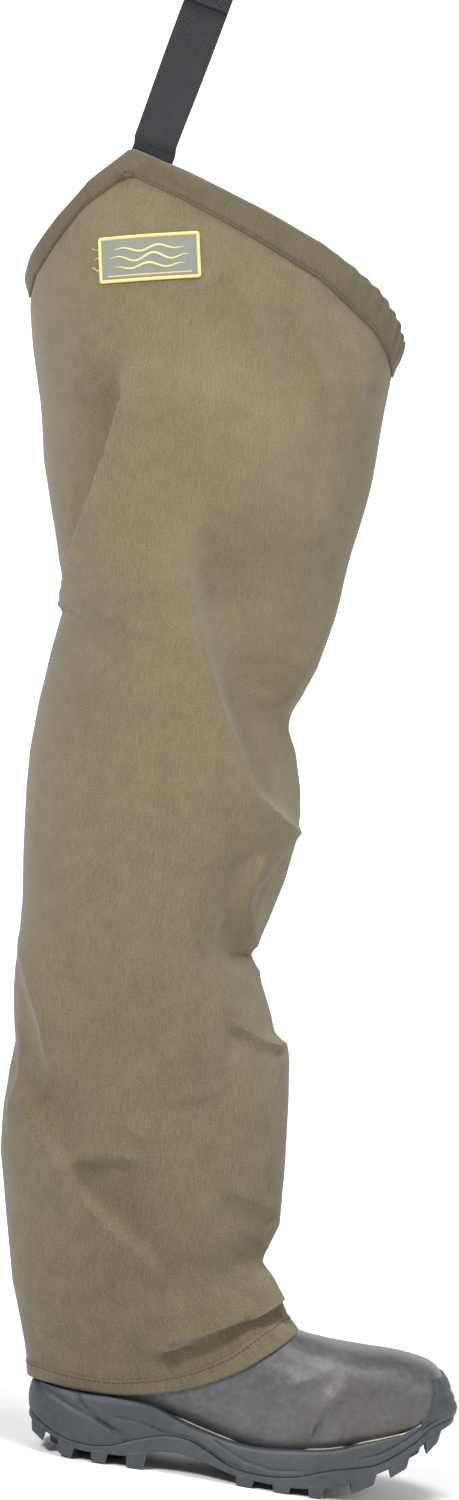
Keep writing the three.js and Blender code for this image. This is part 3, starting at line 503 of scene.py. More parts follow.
def fold_height(one, x, z):
    """Distance to the fold's line, signed to its left, turned into a height. The crest is
    exp(-(d/width)^sharp); a valley is -(d/w) exp(1 - d/w). Both fade towards the line's ends."""
    points = one["points"]
    lengths = along(points)
    nearest = np.full(x.shape, 1e9)
    signed = np.zeros(x.shape)
    travelled = np.zeros(x.shape)
    for (ax, az), (bx, bz), start in zip(points[:-1], points[1:], lengths[:-1]):
        span = math.hypot(bx - ax, bz - az)
        ux, uz = (bx - ax) / span, (bz - az) / span
        t = np.clip((x - ax) * ux + (z - az) * uz, 0, span)
        dx, dz = x - ax - ux * t, z - az - uz * t
        distance = np.hypot(dx, dz)
        closer = distance < nearest
        nearest = np.where(closer, distance, nearest)
        left = ux * dz - uz * dx
        signed = np.where(closer, np.where(left >= 0, distance, -distance), signed)
        travelled = np.where(closer, start + t, travelled)
    share = travelled / lengths[-1]
    fade = smooth(share / one["start"]) * smooth((1 - share) / one["end"])
    width = np.where(signed > 0, one["left"], one["right"])
    crest = one["height"] * np.exp(-((nearest / width) ** one["sharp"]))
    deep = np.where(signed > 0, one["left_valley"], one["valley"])
    wide = np.where(signed > 0, one["left_valley_width"], one["valley_width"])
    hollow = deep * (nearest / wide) * np.exp(1 - nearest / wide)
    return FOLD_DEPTH * (crest - hollow) * fade


def soft_waves(x, z, side):
    """Slow unevenness of hanging cloth: a sum of sines along three slanting directions."""
    shift = np.where(side < 0, 0.0, 1.7)
    thigh = 1 + 2.0 * smooth((z - 640) / 60)
    return thigh * (0.8 * np.sin(x / 21 + z / 47 + shift) * np.sin(z / 63 - x / 90 + shift)
                    + 0.45 * np.sin(x / 11 - z / 35 + 2 * shift) * np.sin(z / 29 + shift))


def leg_station(height):
    return np.interp(height, LEG_HEIGHTS, LEG_STATIONS)


LEG_SKIN = 1.95  # the cloth's outer face, counted from the boot's surface
HUG = 2.0  # softness of the change from hanging cloth to cloth drawn over the boot


def leg_base(height, angle):
    """Oval section at this height, pulled out to the front and back outlines."""
    rows = leg_section(leg_station(height))
    cx, cz, ux, uz, reach, half, shift = section_frame(rows)
    reach, half = reach + LEG_SKIN, half + LEG_SKIN
    c, s = np.cos(angle), np.sin(angle)
    front_x, front_z = cx + ux * reach, cz + uz * reach
    back_x, back_z = cx - ux * reach, cz - uz * reach
    ahead = (front_outline(front_z) - front_x) * smooth((c - 0.25) / 0.75)
    behind = (back_outline(back_z) - back_x) * smooth((-c - 0.25) / 0.75)
    lengthwise = c * reach
    x = cx + ux * lengthwise + (ahead + behind)
    return x, s * half + shift, cz + uz * lengthwise


def leg_surface(height, angle, offset=0.0):
    """The cloth's outer face, moved out by offset: the oval, plus its folds, pushed out of the
    boot by the larger of the two widths with a rounded change between them."""
    height, angle = np.broadcast_arrays(np.asarray(height, float), np.asarray(angle, float))
    x, y, z = leg_base(height, angle)
    s, c = np.sin(angle), np.cos(angle)
    near = smooth(0.5 - s / 0.36)
    swell = soft_waves(x, z, s) * smooth((z - 60) / 60)
    for one in NEAR_FOLDS:
        swell = swell + near * fold_height(one, x, z)
    for one in FAR_FOLDS:
        swell = swell + (1 - near) * fold_height(one, x, z)
    swell = swell * (1 - 0.55 * np.abs(c) ** 6)
    swell = swell * smooth((z - hem_line(x) - 4) / 22)
    x, y = x + c * swell, y + s * swell
    low = z < 240
    room, shift = boot_half_width(x[low], z[low])
    room = room + LEG_SKIN + 0.2
    spread = np.abs(y[low] - shift)
    pushed = (spread + room + np.sqrt((spread - room) ** 2 + HUG * HUG)) / 2
    pushed = mix(spread, pushed, smooth((240 - z[low]) / 60) * smooth(np.abs(s[low]) / 0.08))
    y = y.copy()
    y[low] = shift + np.where(s[low] < 0, -pushed, pushed)
    points = np.stack([x, y, z], axis=-1)
    if np.any(offset):
        points = points + leg_normal(height, angle) * np.asarray(offset)[..., None]
    return points


def leg_normal(height, angle):
    """Outward normal: the cross product of the surface's two slopes."""
    up = leg_surface(height + 1.0, angle) - leg_surface(height - 1.0, angle)
    around = leg_surface(height, angle + 0.012) - leg_surface(height, angle - 0.012)
    return unit(np.cross(around, up))


def leg_edge(angle, target, low, high):
    """Height at which the leg meets an edge, by halving: target(points) is above 0 past it."""
    low, high = np.full(angle.shape, float(low)), np.full(angle.shape, float(high))
    for _ in range(18):
        middle = (low + high) / 2
        past = target(leg_surface(middle, angle)) > 0
        high = np.where(past, middle, high)
        low = np.where(past, low, middle)
    return (low + high) / 2


def leg_columns(count, near_share=0.62):
    """Angles round the leg, closer together on the outer side."""
    near = int(count * near_share)
    return np.concatenate([np.linspace(-math.pi, 0, near, endpoint=False),
                           np.linspace(0, math.pi, count - near, endpoint=False)])


def rim_at(angle):
    return leg_edge(angle, lambda p: p[..., 2] - rim_height(p[..., 0], p[..., 1]), 740, 924)


def hem_at(angle):
    return leg_edge(angle, lambda p: p[..., 2] - hem_line(p[..., 0]), LEG_HEIGHTS[0], 170)


def surface_at(x, z, offset=0.0, side=-1):
    """One side's surface over a point of the side view: height and angle are corrected by what
    they miss, again and again. side is -1 for the outer and 1 for the inner side."""
    x, z = np.asarray(x, float), np.asarray(z, float)
    height, angle = z.copy(), np.full(x.shape, side * math.pi / 2)
    for _ in range(14):
        found = leg_surface(height, angle)
        reach = 128 * np.maximum(np.abs(np.sin(angle)), 0.35)
        height = height + (z - found[..., 2])
        angle = side * np.clip(side * angle - (x - found[..., 0]) / reach, 0.14, 3.0)
    return leg_surface(height, angle, offset), leg_normal(height, angle)


# ---- Materials --------------------------------------------------------------------------------


class Signal:
    """A socket of a material; arithmetic on it adds Math nodes."""

    def __init__(self, finish, socket):
        self.finish, self.socket = finish, socket

    def _with(self, operation, *values):
        inputs = {i: value for i, value in enumerate(values)}
        return self.finish.node("ShaderNodeMath", {"operation": operation}, inputs)

    def __add__(self, other):
        return self._with("ADD", self, other)

    def __sub__(self, other):
        return self._with("SUBTRACT", self, other)

    def __mul__(self, other):
        return self._with("MULTIPLY", self, other)

    def sine(self):
        return self._with("SINE", self)

    def clamped(self, low=0.0, high=1.0):
        return self._with("MINIMUM", self._with("MAXIMUM", self, low), high)


class Finish:
    """A node material round one Principled shader."""

    def __init__(self, name, **constants):
        self.material = bpy.data.materials.new(name)
        self.material.use_nodes = True
        self.tree = self.material.node_tree
        self.surface = self.tree.nodes["Principled BSDF"]
        for socket, value in constants.items():
            self.surface.inputs[socket.replace("_", " ")].default_value = value

    def node(self, kind, settings=None, inputs=None, output=0):
        """Adds a node: its settings first, then the values or links of its sockets."""
        made = self.tree.nodes.new(kind)
        for key, value in (settings or {}).items():
            if key == "stops":
                self.fill_ramp(made.color_ramp, value)
            else:
                setattr(made, key, value)
        for key, value in (inputs or {}).items():
            self.feed(made.inputs[key], value)
        return Signal(self, made.outputs[output])

    @staticmethod
    def fill_ramp(ramp, stops):
        while len(ramp.elements) < len(stops):
            ramp.elements.new(0.5)
        for element, (position, colour) in zip(ramp.elements, stops):
            element.position, element.color = position, colour

    def feed(self, socket, value):
        if isinstance(value, Signal):
            self.tree.links.new(value.socket, socket)
        else:
            socket.default_value = value

    def set(self, socket, value):
        self.feed(self.surface.inputs[socket], value)
        return self

    def place(self, stretch=(1, 1, 1), source="Object"):
        """Coordinates in metres, stretched by axis."""
        start = self.node("ShaderNodeTexCoord", output=source)
        return self.node("ShaderNodeMapping", {"vector_type": "POINT"},
                         {"Vector": start, "Scale": stretch})

    def noise(self, scale, detail=3.0, roughness=0.55, where=None):
        where = where or self.place()
        return self.node("ShaderNodeTexNoise", {"noise_dimensions": "3D"},
                         {"Vector": where, "Scale": scale, "Detail": detail, "Roughness": roughness})

    def cells(self, scale, where=None):
        where = where or self.place()
        return self.node("ShaderNodeTexVoronoi", {"feature": "F1"},
                         {"Vector": where, "Scale": scale})

    def part_of(self, vector, axis):
        return self.node("ShaderNodeSeparateXYZ", {}, {"Vector": vector}, output=axis)

    def between(self, low, high, value):
        """0 where value is low, 1 where it is high, clamped."""
        return ((value - low) * (1.0 / (high - low))).clamped()

    def tint(self, first, second, share):
        return self.node("ShaderNodeMix", {"data_type": "RGBA", "clamp_factor": True},
                         {0: share, 6: first, 7: second}, output=2)

    def relief(self, height, distance, strength):
        """A Bump node; distance is how many metres one unit of height stands for."""
        bump = self.node("ShaderNodeBump", {},
                         {"Height": height, "Distance": distance, "Strength": strength})
        return self.set("Normal", bump)


def rgb(red, green, blue):
    """A colour given by its 8-bit sRGB values."""
    def linear(value):
        value = value / 255
        return value / 12.92 if value <= 0.04045 else ((value + 0.055) / 1.055) ** 2.4
    return (linear(red), linear(green), linear(blue), 1.0)


def woven_cloth(name, light, dark, thread=0.00085, slub=1.0, roughness=0.93):
    """Plain weave of matte yarn: warp and weft waves cross in the cloth's own coordinates, with
    thicker yarns here and there, slow blotches of wear, and painted shade that darkens it
    towards the bottom."""
    finish = Finish(name, Roughness=roughness, Specular_IOR_Level=0.22, Sheen_Weight=0.16,
                    Sheen_Roughness=0.6)
    flat = finish.place(source="UV")
    across, upward = finish.part_of(flat, 0), finish.part_of(flat, 1)
    turns = 2 * math.pi / thread
    warp = (across * turns).sine()
    weft = (upward * turns).sine()
    weave = warp * weft
    yarns = finish.noise(1.0, 3.0, 0.6, finish.place((760, 760, 110), source="UV"))
    rows = finish.noise(1.0, 2.0, 0.6, finish.place((1100, 90, 110), source="UV"))
    blotch = finish.noise(9.0, 4.0, 0.6)
    mottle = finish.noise(70.0, 3.0, 0.6)
    shade = (yarns * 0.9 * slub + rows * 0.6 * slub + blotch * 0.4 + mottle * 0.35
             + weave * 0.06 - (0.375 + 0.75 * slub))
    # painted shade: the colour darkens by up to 0.24 from 0.55 m down to 0.1 m height
    low_painted_shade = finish.between(0.55, 0.1, finish.part_of(finish.place(), 2)) * 0.24
    finish.set("Base Color", finish.tint(dark, light, (shade * 1.3 + 0.56 - low_painted_shade).clamped()))
    finish.relief(weave * 0.35 + yarns * slub + rows * 0.6 * slub, 0.00016, 0.9)
    return finish.material


def coated_rubber(name, light, dark, roughness, grain_scale, grain_depth, coat=0.0, stain=None):
    """Moulded rubber: a fine pebbled grain, cloudy colour, and, where a stain is given, patches of
    dust or bloom.
    """
    finish = Finish(name, Specular_IOR_Level=0.5, Coat_Roughness=0.35)
    cloud = finish.noise(16.0, 5.0, 0.6)
    fine = finish.noise(220.0, 3.0, 0.6)
    grain = finish.cells(grain_scale)
    share = (cloud * 1.5 + fine * 1.1 - 0.8).clamped()
    colour = finish.tint(dark, light, share)
    if stain:
        patches = finish.between(0.52, 0.68, finish.noise(7.0, 4.0, 0.6))
        colour = finish.tint(colour, stain, patches * 0.55)
    finish.set("Base Color", colour)
    finish.set("Roughness", finish.noise(40.0, 3.0) * 0.22 + (roughness - 0.11))
    finish.surface.inputs["Coat Weight"].default_value = coat
    finish.relief(grain * 0.7 + fine * 0.5, grain_depth, 0.8)
    return finish.material


def ribbed_webbing(name, light, dark, rib=0.0016):
    """Narrow woven tape: ribs run across it, split by fine warp threads, with plain edges."""
    finish = Finish(name, Roughness=0.72, Specular_IOR_Level=0.35, Sheen_Weight=0.1)
    flat = finish.place(source="UV")
    across, upward = finish.part_of(flat, 0), finish.part_of(flat, 1)
    warp = (across * (2 * math.pi / 0.0011)).sine()
    ribs = (upward * (2 * math.pi / rib) + warp * 0.9).sine()
    speck = finish.noise(1.0, 3.0, 0.6, finish.place((1400, 500, 1), source="UV"))
    wear = finish.noise(25.0, 3.0, 0.6)
    share = (ribs * 0.42 + speck * 0.6 + wear * 0.4 - 0.05).clamped()
    finish.set("Base Color", finish.tint(dark, light, share))
    finish.relief(ribs + warp * 0.25 + speck * 0.3, 0.00028, 0.9)
    return finish.material


def moulded_plastic(name, light, dark):
    """Injection-moulded nylon: a fine spark texture with scuffed, slightly paler patches."""
    finish = Finish(name, Specular_IOR_Level=0.5)
    scuff = finish.noise(90.0, 4.0, 0.65)
    texture = finish.noise(2600.0, 2.0)
    finish.set("Base Color", finish.tint(dark, light, (scuff * 1.6 - 0.4).clamped()))
    finish.set("Roughness", scuff * 0.25 + 0.3)
    finish.relief(texture, 0.00006, 0.7)
    return finish.material


def knit_lining(name, light, dark):
    """Knitted face of a neoprene bootie: small loops in rows over a soft, pilled pile."""
    finish = Finish(name, Roughness=0.95, Specular_IOR_Level=0.15, Sheen_Weight=0.25)
    loops = finish.cells(900.0, finish.place((1, 1, 1.6)))
    pile = finish.noise(300.0, 4.0, 0.65)
    share = (loops * 0.8 + pile * 0.7 - 0.25).clamped()
    finish.set("Base Color", finish.tint(dark, light, share))
    finish.relief(loops + pile, 0.0002, 0.9)
    return finish.material


def brushed_steel(name):
    finish = Finish(name, Metallic=1.0)
    streak = finish.noise(1.0, 3.0, 0.6, finish.place((60, 1800, 1800)))
    finish.set("Base Color", finish.tint(rgb(120, 122, 124), rgb(176, 178, 180), streak))
    finish.set("Roughness", streak * 0.3 + 0.25)
    finish.relief(streak, 0.00004, 0.6)
    return finish.material


def fibre_board(name):
    finish = Finish(name, Roughness=0.9, Specular_IOR_Level=0.2)
    fibres = finish.noise(1.0, 4.0, 0.65, finish.place((700, 700, 250)))
    finish.set("Base Color", finish.tint(rgb(120, 104, 82), rgb(164, 146, 118), fibres))
    finish.relief(fibres, 0.0002, 0.7)
    return finish.material


def floor_finish():
    """Pale paper that glows more and more behind the object, so its far part stays white."""
    finish = Finish("studio_floor", Roughness=0.95, Specular_IOR_Level=0.0,
                    Emission_Strength=0.85)
    finish.set("Base Color", finish.tint((0.93, 0.93, 0.93, 1), (0.96, 0.96, 0.96, 1),
                                         finish.noise(2.0, 2.0)))
    depth = finish.part_of(finish.place(), 1)
    glow = finish.between(GLOW_START, GLOW_FULL, depth)
    finish.set("Emission Color", finish.tint((0, 0, 0, 1), (1, 1, 1, 1), glow))
    return finish.material


GLOW_START = 0.35
GLOW_FULL = 1.5
LEG_CLOTH = woven_cloth("leg_canvas", rgb(116, 108, 82), rgb(76, 69, 52))
# painted shade: a darker copy of the leg's canvas for the top hem band, standing for the shade on the
# doubled band
SHADED_HEM_CLOTH = woven_cloth("hem_canvas_painted_shade", rgb(96, 89, 67), rgb(66, 59, 44), roughness=0.95)
PATCH_CLOTH = woven_cloth("label_ground", rgb(128, 130, 121), rgb(104, 107, 99), thread=0.0007,
                          slub=0.6)
YELLOW_THREAD = woven_cloth("label_thread", rgb(206, 196, 128), rgb(176, 165, 96),
                            thread=0.0005, slub=0.5, roughness=0.8)
STITCH_THREAD = woven_cloth("hem_thread", rgb(66, 60, 46), rgb(46, 41, 31), thread=0.0004,
                            slub=0.4)
UPPER_RUBBER = coated_rubber("upper_rubber", rgb(88, 88, 92), rgb(48, 44, 43), 0.45, 900.0,
                             0.0002, coat=0.08, stain=rgb(70, 60, 52))
SOLE_RUBBER = coated_rubber("sole_rubber", rgb(60, 64, 70), rgb(36, 40, 45), 0.58, 1400.0,
                            0.00009)
TRIM_RUBBER = coated_rubber("trim_line", rgb(196, 192, 168), rgb(150, 144, 122), 0.7, 1200.0,
                            0.00005)
COLLAR_RUBBER = coated_rubber("collar_rubber", rgb(84, 82, 80), rgb(62, 60, 58), 0.55, 1000.0,
                              0.0001)
STRAP_WEAVE = ribbed_webbing("strap_webbing", rgb(38, 40, 45), rgb(9, 10, 12))
STRAP_THREAD = ribbed_webbing("strap_thread", rgb(60, 62, 68), rgb(26, 27, 31), rib=0.0008)
BUCKLE_PLASTIC = moulded_plastic("buckle_plastic", rgb(48, 49, 52), rgb(24, 25, 27))
LINING_KNIT = knit_lining("lining_knit", rgb(62, 66, 68), rgb(34, 36, 38))
FOOTBED_KNIT = knit_lining("footbed_knit", rgb(92, 94, 92), rgb(58, 60, 60))
TAPE_FINISH = coated_rubber("seam_tape", rgb(132, 128, 112), rgb(108, 104, 90), 0.5, 500.0,
                            0.00005)
SHANK_STEEL = brushed_steel("shank_steel")
BOARD = fibre_board("stiffener_board")


def dress(node, finish):
    """Gives a CAD node its material."""
    piece = bpy.data.objects[node]
    if not piece.material_slots:
        piece.data.materials.append(finish)
    for material_slot in piece.material_slots:
        material_slot.material = finish


# ---- Camera, floor and light ------------------------------------------------------------------

CAMERA_ROLL = math.radians(8)
CAMERA_DISTANCE = 2.6
CAMERA_LENS = 87.9
CAMERA_X, CAMERA_Z = -0.01865, 0.5068


def make_camera():
    """Looks along +y from the outer side, rolled so that the sole slopes down to the toe."""
    camera = bpy.data.objects.new("camera", bpy.data.cameras.new("camera"))
    bpy.context.scene.collection.objects.link(camera)
    camera.data.lens = CAMERA_LENS
    camera.data.sensor_width = 36
    camera.data.clip_end = 60
    c, s = math.cos(CAMERA_ROLL), math.sin(CAMERA_ROLL)
    camera.matrix_world = Matrix(((c, -s, 0, CAMERA_X), (0, 0, -1, -CAMERA_DISTANCE),
                                  (s, c, 0, CAMERA_Z), (0, 0, 0, 1)))
    bpy.context.scene.camera = camera


FLOOR_REACH = 12.0
WALL_START = 10.0
WALL_BEND = 2.0
WALL_TOP = 9.0


def make_floor():
    """A wide floor that curves up into a wall behind, as one sweep along x."""
    flat = np.array([-FLOOR_REACH, -3.0, 0.0, 3.0, WALL_START])
    bend = np.linspace(-math.pi / 2, 0, 13)
    y = np.concatenate([flat, WALL_START + WALL_BEND * np.cos(bend), [WALL_START + WALL_BEND]])
    z = np.concatenate([0 * flat, WALL_BEND + WALL_BEND * np.sin(bend), [WALL_TOP]])
    x = np.array([-FLOOR_REACH, FLOOR_REACH])
    points = np.stack([np.broadcast_to(x[:, None], (2, len(y))),
                       np.broadcast_to(y, (2, len(y))), np.broadcast_to(z, (2, len(z)))], axis=-1)
    points = points / MM - np.array([HEEL_X, 0, 0.4])
    floor = mesh_piece("studio_floor_sheet", points, grid_faces(2, len(y)))
    floor.data.materials.append(floor_finish())


def area_light(name, place_at, aim_at, width, height, power):
    light = bpy.data.objects.new(name, bpy.data.lights.new(name, "AREA"))
    bpy.context.scene.collection.objects.link(light)
    light.data.shape = "RECTANGLE"
    light.data.size, light.data.size_y = width, height
    light.data.energy = power
    start, end = np.array(place_at, float), np.array(aim_at, float)
    back = unit(start - end)
    side = unit(np.cross((0, 0, 1), back))
    top = np.cross(back, side)
    rows = [[side[i], top[i], back[i], start[i]] for i in range(3)]
    light.matrix_world = Matrix(rows + [[0, 0, 0, 1]])


def make_light():
    world = bpy.data.worlds.new("studio")
    world.use_nodes = True
    world.node_tree.nodes["Background"].inputs["Color"].default_value = (1, 1, 1, 1)
    world.node_tree.nodes["Background"].inputs["Strength"].default_value = 0.25
    bpy.context.scene.world = world
    middle = (0, 0, 0.5)
    area_light("key", (-1.7, -2.8, 2.6), middle, 0.6, 0.8, 155)
    area_light("top", (0.3, -0.8, 3.2), middle, 1.2, 1.0, 62)
    area_light("rim", (2.7, -1.3, 1.5), middle, 1.0, 2.2, 48)
    bpy.context.scene.view_settings.view_transform = "Standard"


make_camera()
make_floor()
make_light()

# ---- The fabric leg ---------------------------------------------------------------------------

LEG_COLUMNS = 206
LEG_ROWS = 232
CLOTH_THICKNESS = 1.6


def leg_grid():
    """Points of the leg: rows run from the hem to the rim, and each column keeps its angle."""
    angle = leg_columns(LEG_COLUMNS)
    low, high = hem_at(angle), rim_at(angle)
    share = np.linspace(0, 1, LEG_ROWS)[:, None]
    height = low + (high - low) * share
    return leg_surface(height, angle[None, :])


def cloth_uv(points):
    """Cloth coordinates in metres: distance round the leg on each row, and height."""
    steps = np.linalg.norm(np.diff(points, axis=1), axis=2)
    across = np.concatenate([np.zeros((len(points), 1)), np.cumsum(steps, axis=1)], axis=1)
    across = across - across[:, across.shape[1] // 3][:, None]
    return np.stack([across, points[..., 2]], axis=-1) * MM


def make_leg():
    points = leg_grid()
    closed = np.concatenate([points, points[:, :1]], axis=1)
    uv = cloth_uv(closed)
    faces = grid_faces(*closed.shape[:2])
    leg = mesh_piece("leg_cloth", closed, faces, uv)
    thicken(leg, CLOTH_THICKNESS)
    return place(leg, "wader", "leg_fabric", LEG_CLOTH, "leg_shell")


def edge_band(name, angle, edge, loop, stretch=1.0, bulge=0.0):
    """A folded band along an edge of the leg. loop is its closed section: how far below the edge
    each corner lies, and how far out of the cloth's outer face; stretch scales the first, and bulge
    swells the outer side between the edge and the seam."""
    below, out = np.array(loop, float).T
    swelling = (out > 0.5) * np.clip(1 - (below / below.max() / 0.85) ** 2, 0, 1)
    height = edge[:, None] - below[None, :] * np.broadcast_to(stretch, edge.shape)[:, None]
    ring = np.broadcast_to(angle[:, None], height.shape)
    lifted = out[None, :] + swelling[None, :] * np.broadcast_to(bulge, edge.shape)[:, None]
    points = leg_surface(height, ring, lifted)
    section = along(np.concatenate([points[0], points[0][:1]]))[:-1] * MM
    travelled = along(np.concatenate([points[:, 0], points[:1, 0]])) * MM
    points = np.concatenate([points, points[:1]])
    points = np.concatenate([points, points[:, :1]], axis=1)
    across = np.append(section, section[-1] + 0.001)
    uv = np.stack(np.broadcast_arrays(travelled[:, None], across[None, :]), axis=-1)
    return mesh_piece(name, points, grid_faces(*points.shape[:2]), uv, sharp=70)


def rounded_fold(depth, outer_low, outer_high, inner_low, inner_high, top):
    """Section of a band folded over an edge: up the outside, over the top, down the inside, and
    back along the faces that lie against the cloth."""
    outside = [(depth, outer_low), (depth + 0.2, (outer_low + outer_high) / 2),
               (depth - 0.3, outer_high)]
    outside += [(d, outer_high) for d in (depth * 0.75, depth * 0.5, depth * 0.25, 1.5)]
    middle = (outer_high + inner_high) / 2
    reach = (outer_high - inner_high) / 2
    over = [(-top * math.sin(a), middle + reach * math.cos(a))
            for a in np.linspace(0.1, math.pi - 0.1, 7)]
    inside = [(d, inner_high) for d in (1.5, depth * 0.33, depth * 0.66, depth - 0.3)]
    inside += [(depth, inner_low), (depth * 0.5, inner_low), (0.4, inner_low), (0.4, outer_low),
               (depth * 0.5, outer_low)]
    return outside + over + inside


def dense_angles(count):
    """Angles round the leg with extra columns beside the peak."""
    even = leg_columns(count, 0.66)
    peak = np.linspace(-2.1, -1.75, 24)
    return np.unique(np.concatenate([even, peak]).round(6))


TOP_HEM_DEPTH = 20
TOP_HEM_WIDENING = 0.26  # share by which the band is deeper in front and shallower behind
HEM_SWELL = 0.5  # how far the band's outer side swells, everywhere, in front and behind
HEM_SWELL_FRONT = 3.4
HEM_SWELL_BACK = 3.0
GATHERS = 60  # gathers round the leg, if they ran all the way
BOTTOM_HEM_DEPTH = 10
HEM_SPACING = 3.4  # of the hems' stitches


def rim_stitches(name, angle, edge, depth, out, length, radius):
    """A row of stitches at one depth under an edge, evenly spaced round the leg."""
    ring = np.append(angle, angle[0] + 2 * math.pi)
    heights = edge - np.broadcast_to(depth, edge.shape)
    heights = np.append(heights, heights[0])
    fine = np.linspace(ring[0], ring[-1], 1600)
    fine_height = np.interp(fine, ring, heights)
    path = leg_surface(fine_height, fine, np.full(fine.shape, out))
    travelled = along(path)
    at = np.arange(HEM_SPACING / 2, travelled[-1], HEM_SPACING)
    a, h = np.interp(at, travelled, fine), np.interp(at, travelled, fine_height)
    middles = np.stack([np.interp(at, travelled, column) for column in path.T], axis=1)
    ahead = np.stack([np.interp(at + 1, travelled, column) for column in path.T], axis=1)
    normal = leg_normal(h, a)
    return many_stitches(name, middles, ahead - middles, normal, length, radius)


def make_top_hem():
    angle = dense_angles(300)
    edge = rim_at(angle)
    c = np.cos(angle)
    ripple = np.sin(angle * GATHERS)
    gathers = 0.5 * ripple * smooth(c - 0.55)
    loop = rounded_fold(TOP_HEM_DEPTH, 0.15, 1.45, -1.75, -3.0, 1.7)
    stretch = 0.98 + TOP_HEM_WIDENING * c
    in_front, behind = smooth((c - 0.5) / 0.4), smooth((-c - 0.7) / 0.25)
    bulge = HEM_SWELL_FRONT * in_front + HEM_SWELL_BACK * behind + HEM_SWELL
    bulge = bulge + 0.9 * ripple * smooth((c - 0.4) / 0.4)
    band = edge_band("top_hem_band", angle, edge + gathers, loop, stretch, bulge)
    # the band wears the darker copy of the canvas, which is painted shade
    place(band, "wader", "hem_fabric", SHADED_HEM_CLOTH, "top_hem")
    thread = rim_stitches("top_hem_stitching", angle, edge, (TOP_HEM_DEPTH - 2.2) * stretch, 1.4,
                          2.7, 0.34)
    place(thread, "wader", "hem_fabric", STITCH_THREAD)
    return band, thread


def make_bottom_hem():
    angle = leg_columns(280)
    edge = hem_at(angle)
    depth = BOTTOM_HEM_DEPTH
    loop = [(-depth, 0.1), (-depth - 0.1, 0.3), (-depth + 0.3, 0.55), (-depth * 0.7, 0.75),
            (-depth * 0.35, 1.1), (-1.0, 1.1), (0.0, 0.8), (0.3, 0.0), (0.3, -1.0), (0.0, -1.5),
            (-0.4, -1.5), (-0.4, 0.05), (-depth * 0.5, 0.05)]
    band = edge_band("bottom_hem_band", angle, edge, loop)
    place(band, "wader", "hem_fabric", LEG_CLOTH, "bottom_hem")
    thread = rim_stitches("bottom_hem_stitching", angle, edge, -depth + 1.8, 0.7, 2.6, 0.3)
    place(thread, "wader", "hem_fabric", STITCH_THREAD)
    return band, thread


SEAM_TAPE = dict(x=(44, 66), low=251, below_rim=28, depth=(1.8, 2.6))


def make_seam_tape():
    """Heat-sealed tape over the inside seam: a thin strip on the cloth's inner face."""
    x0, x1 = SEAM_TAPE["x"]
    across = np.linspace(x0, x1, 9)
    top = rim_height(np.full(9, x1), 80.0) - SEAM_TAPE["below_rim"]
    z = mix(SEAM_TAPE["low"], top[None, :].min(), np.linspace(0, 1, 130)[:, None])
    x, z = np.broadcast_arrays(across[None, :], z)
    near, far = SEAM_TAPE["depth"]
    out = surface_at(x, z, np.full(x.shape, -near), side=1)[0]
    inner = surface_at(x, z, np.full(x.shape, -far), side=1)[0]
    ring = np.concatenate([out, inner[:, ::-1]], axis=1)
    ends = [ring[:1].mean(axis=1, keepdims=True), ring[-1:].mean(axis=1, keepdims=True)]
    columns = ring.shape[1]
    ring = np.concatenate([np.repeat(ends[0], columns, 1), ring, np.repeat(ends[1], columns, 1)])
    tape_piece = mesh_piece("seam_tape_strip", ring, grid_faces(*ring.shape[:2], around=True),
                            sharp=50)
    place(tape_piece, "wader", "lining", TAPE_FINISH, "inseam_tape")


leg_cloth = make_leg()
make_seam_tape()
top_hem, top_thread = make_top_hem()
bottom_hem, bottom_thread = make_bottom_hem()


# ---- The label --------------------------------------------------------------------------------

PATCH = dict(width=71, height=33, x=-25, z=835.5, tilt=0.184, border=3)


def patch_point(across, upward, out=0.0):
    """A point of the label: its own axes are turned by the tilt and laid on the cloth."""
    c, s = math.cos(PATCH["tilt"]), math.sin(PATCH["tilt"])
    x = PATCH["x"] + across * c - upward * s
    z = PATCH["z"] + across * s + upward * c
    return surface_at(x, z, np.broadcast_to(out, np.shape(x)))


def make_patch():
    """Pillow of two grids that share their edge: the face rises within its first millimetre."""
    half_width, half_height = PATCH["width"] / 2 - 1.2, PATCH["height"] / 2 - 1.2
    across = np.linspace(-half_width, half_width, 90)[:, None]
    upward = np.linspace(-half_height, half_height, 44)[None, :]
    across, upward = np.broadcast_arrays(across, upward)
    edge = np.minimum(half_width - np.abs(across), half_height - np.abs(upward))
    face, _ = patch_point(across, upward, 0.25 + 0.85 * smooth(edge / 1.2))
    back, _ = patch_point(across, upward, 0.25 + 0 * edge)
    uv = np.stack([across, upward], axis=-1) * MM
    rows, columns = across.shape
    front = grid_faces(rows, columns)
    points = np.concatenate([face.reshape(-1, 3), back.reshape(-1, 3)])
    faces = np.concatenate([front, front[:, ::-1] + rows * columns])
    uv = np.concatenate([uv.reshape(-1, 2)] * 2)
    patch = mesh_piece("label_ground_cloth", points, faces, uv)
    return place(patch, "wader", "label", PATCH_CLOTH, "label_patch")


def rounded_rectangle(half_width, half_height, radius, spacing):
    turn = np.linspace(0, math.pi / 2, 5)
    corners = []
    for k, (sx, sy) in enumerate([(1, 1), (-1, 1), (-1, -1), (1, -1)]):
        a = turn + k * math.pi / 2
        corners.append(np.stack([sx * (half_width - radius) + radius * np.cos(a),
                                 sy * (half_height - radius) + radius * np.sin(a)], axis=1))
    path = np.concatenate(corners)
    path = np.concatenate([path, path[:1]])
    return resampled(path, int(along(path)[-1] / spacing))[:-1]


BORDER_RADIUS = 1.2
BORDER_SWELL = 0.14  # of the radius with every turn of thread
BORDER_TURN = 1.15  # length of edge that one turn of thread covers
BORDER_STEP = 0.26
BORDER_CORNER = 1.1
BORDER_SIDES = 12


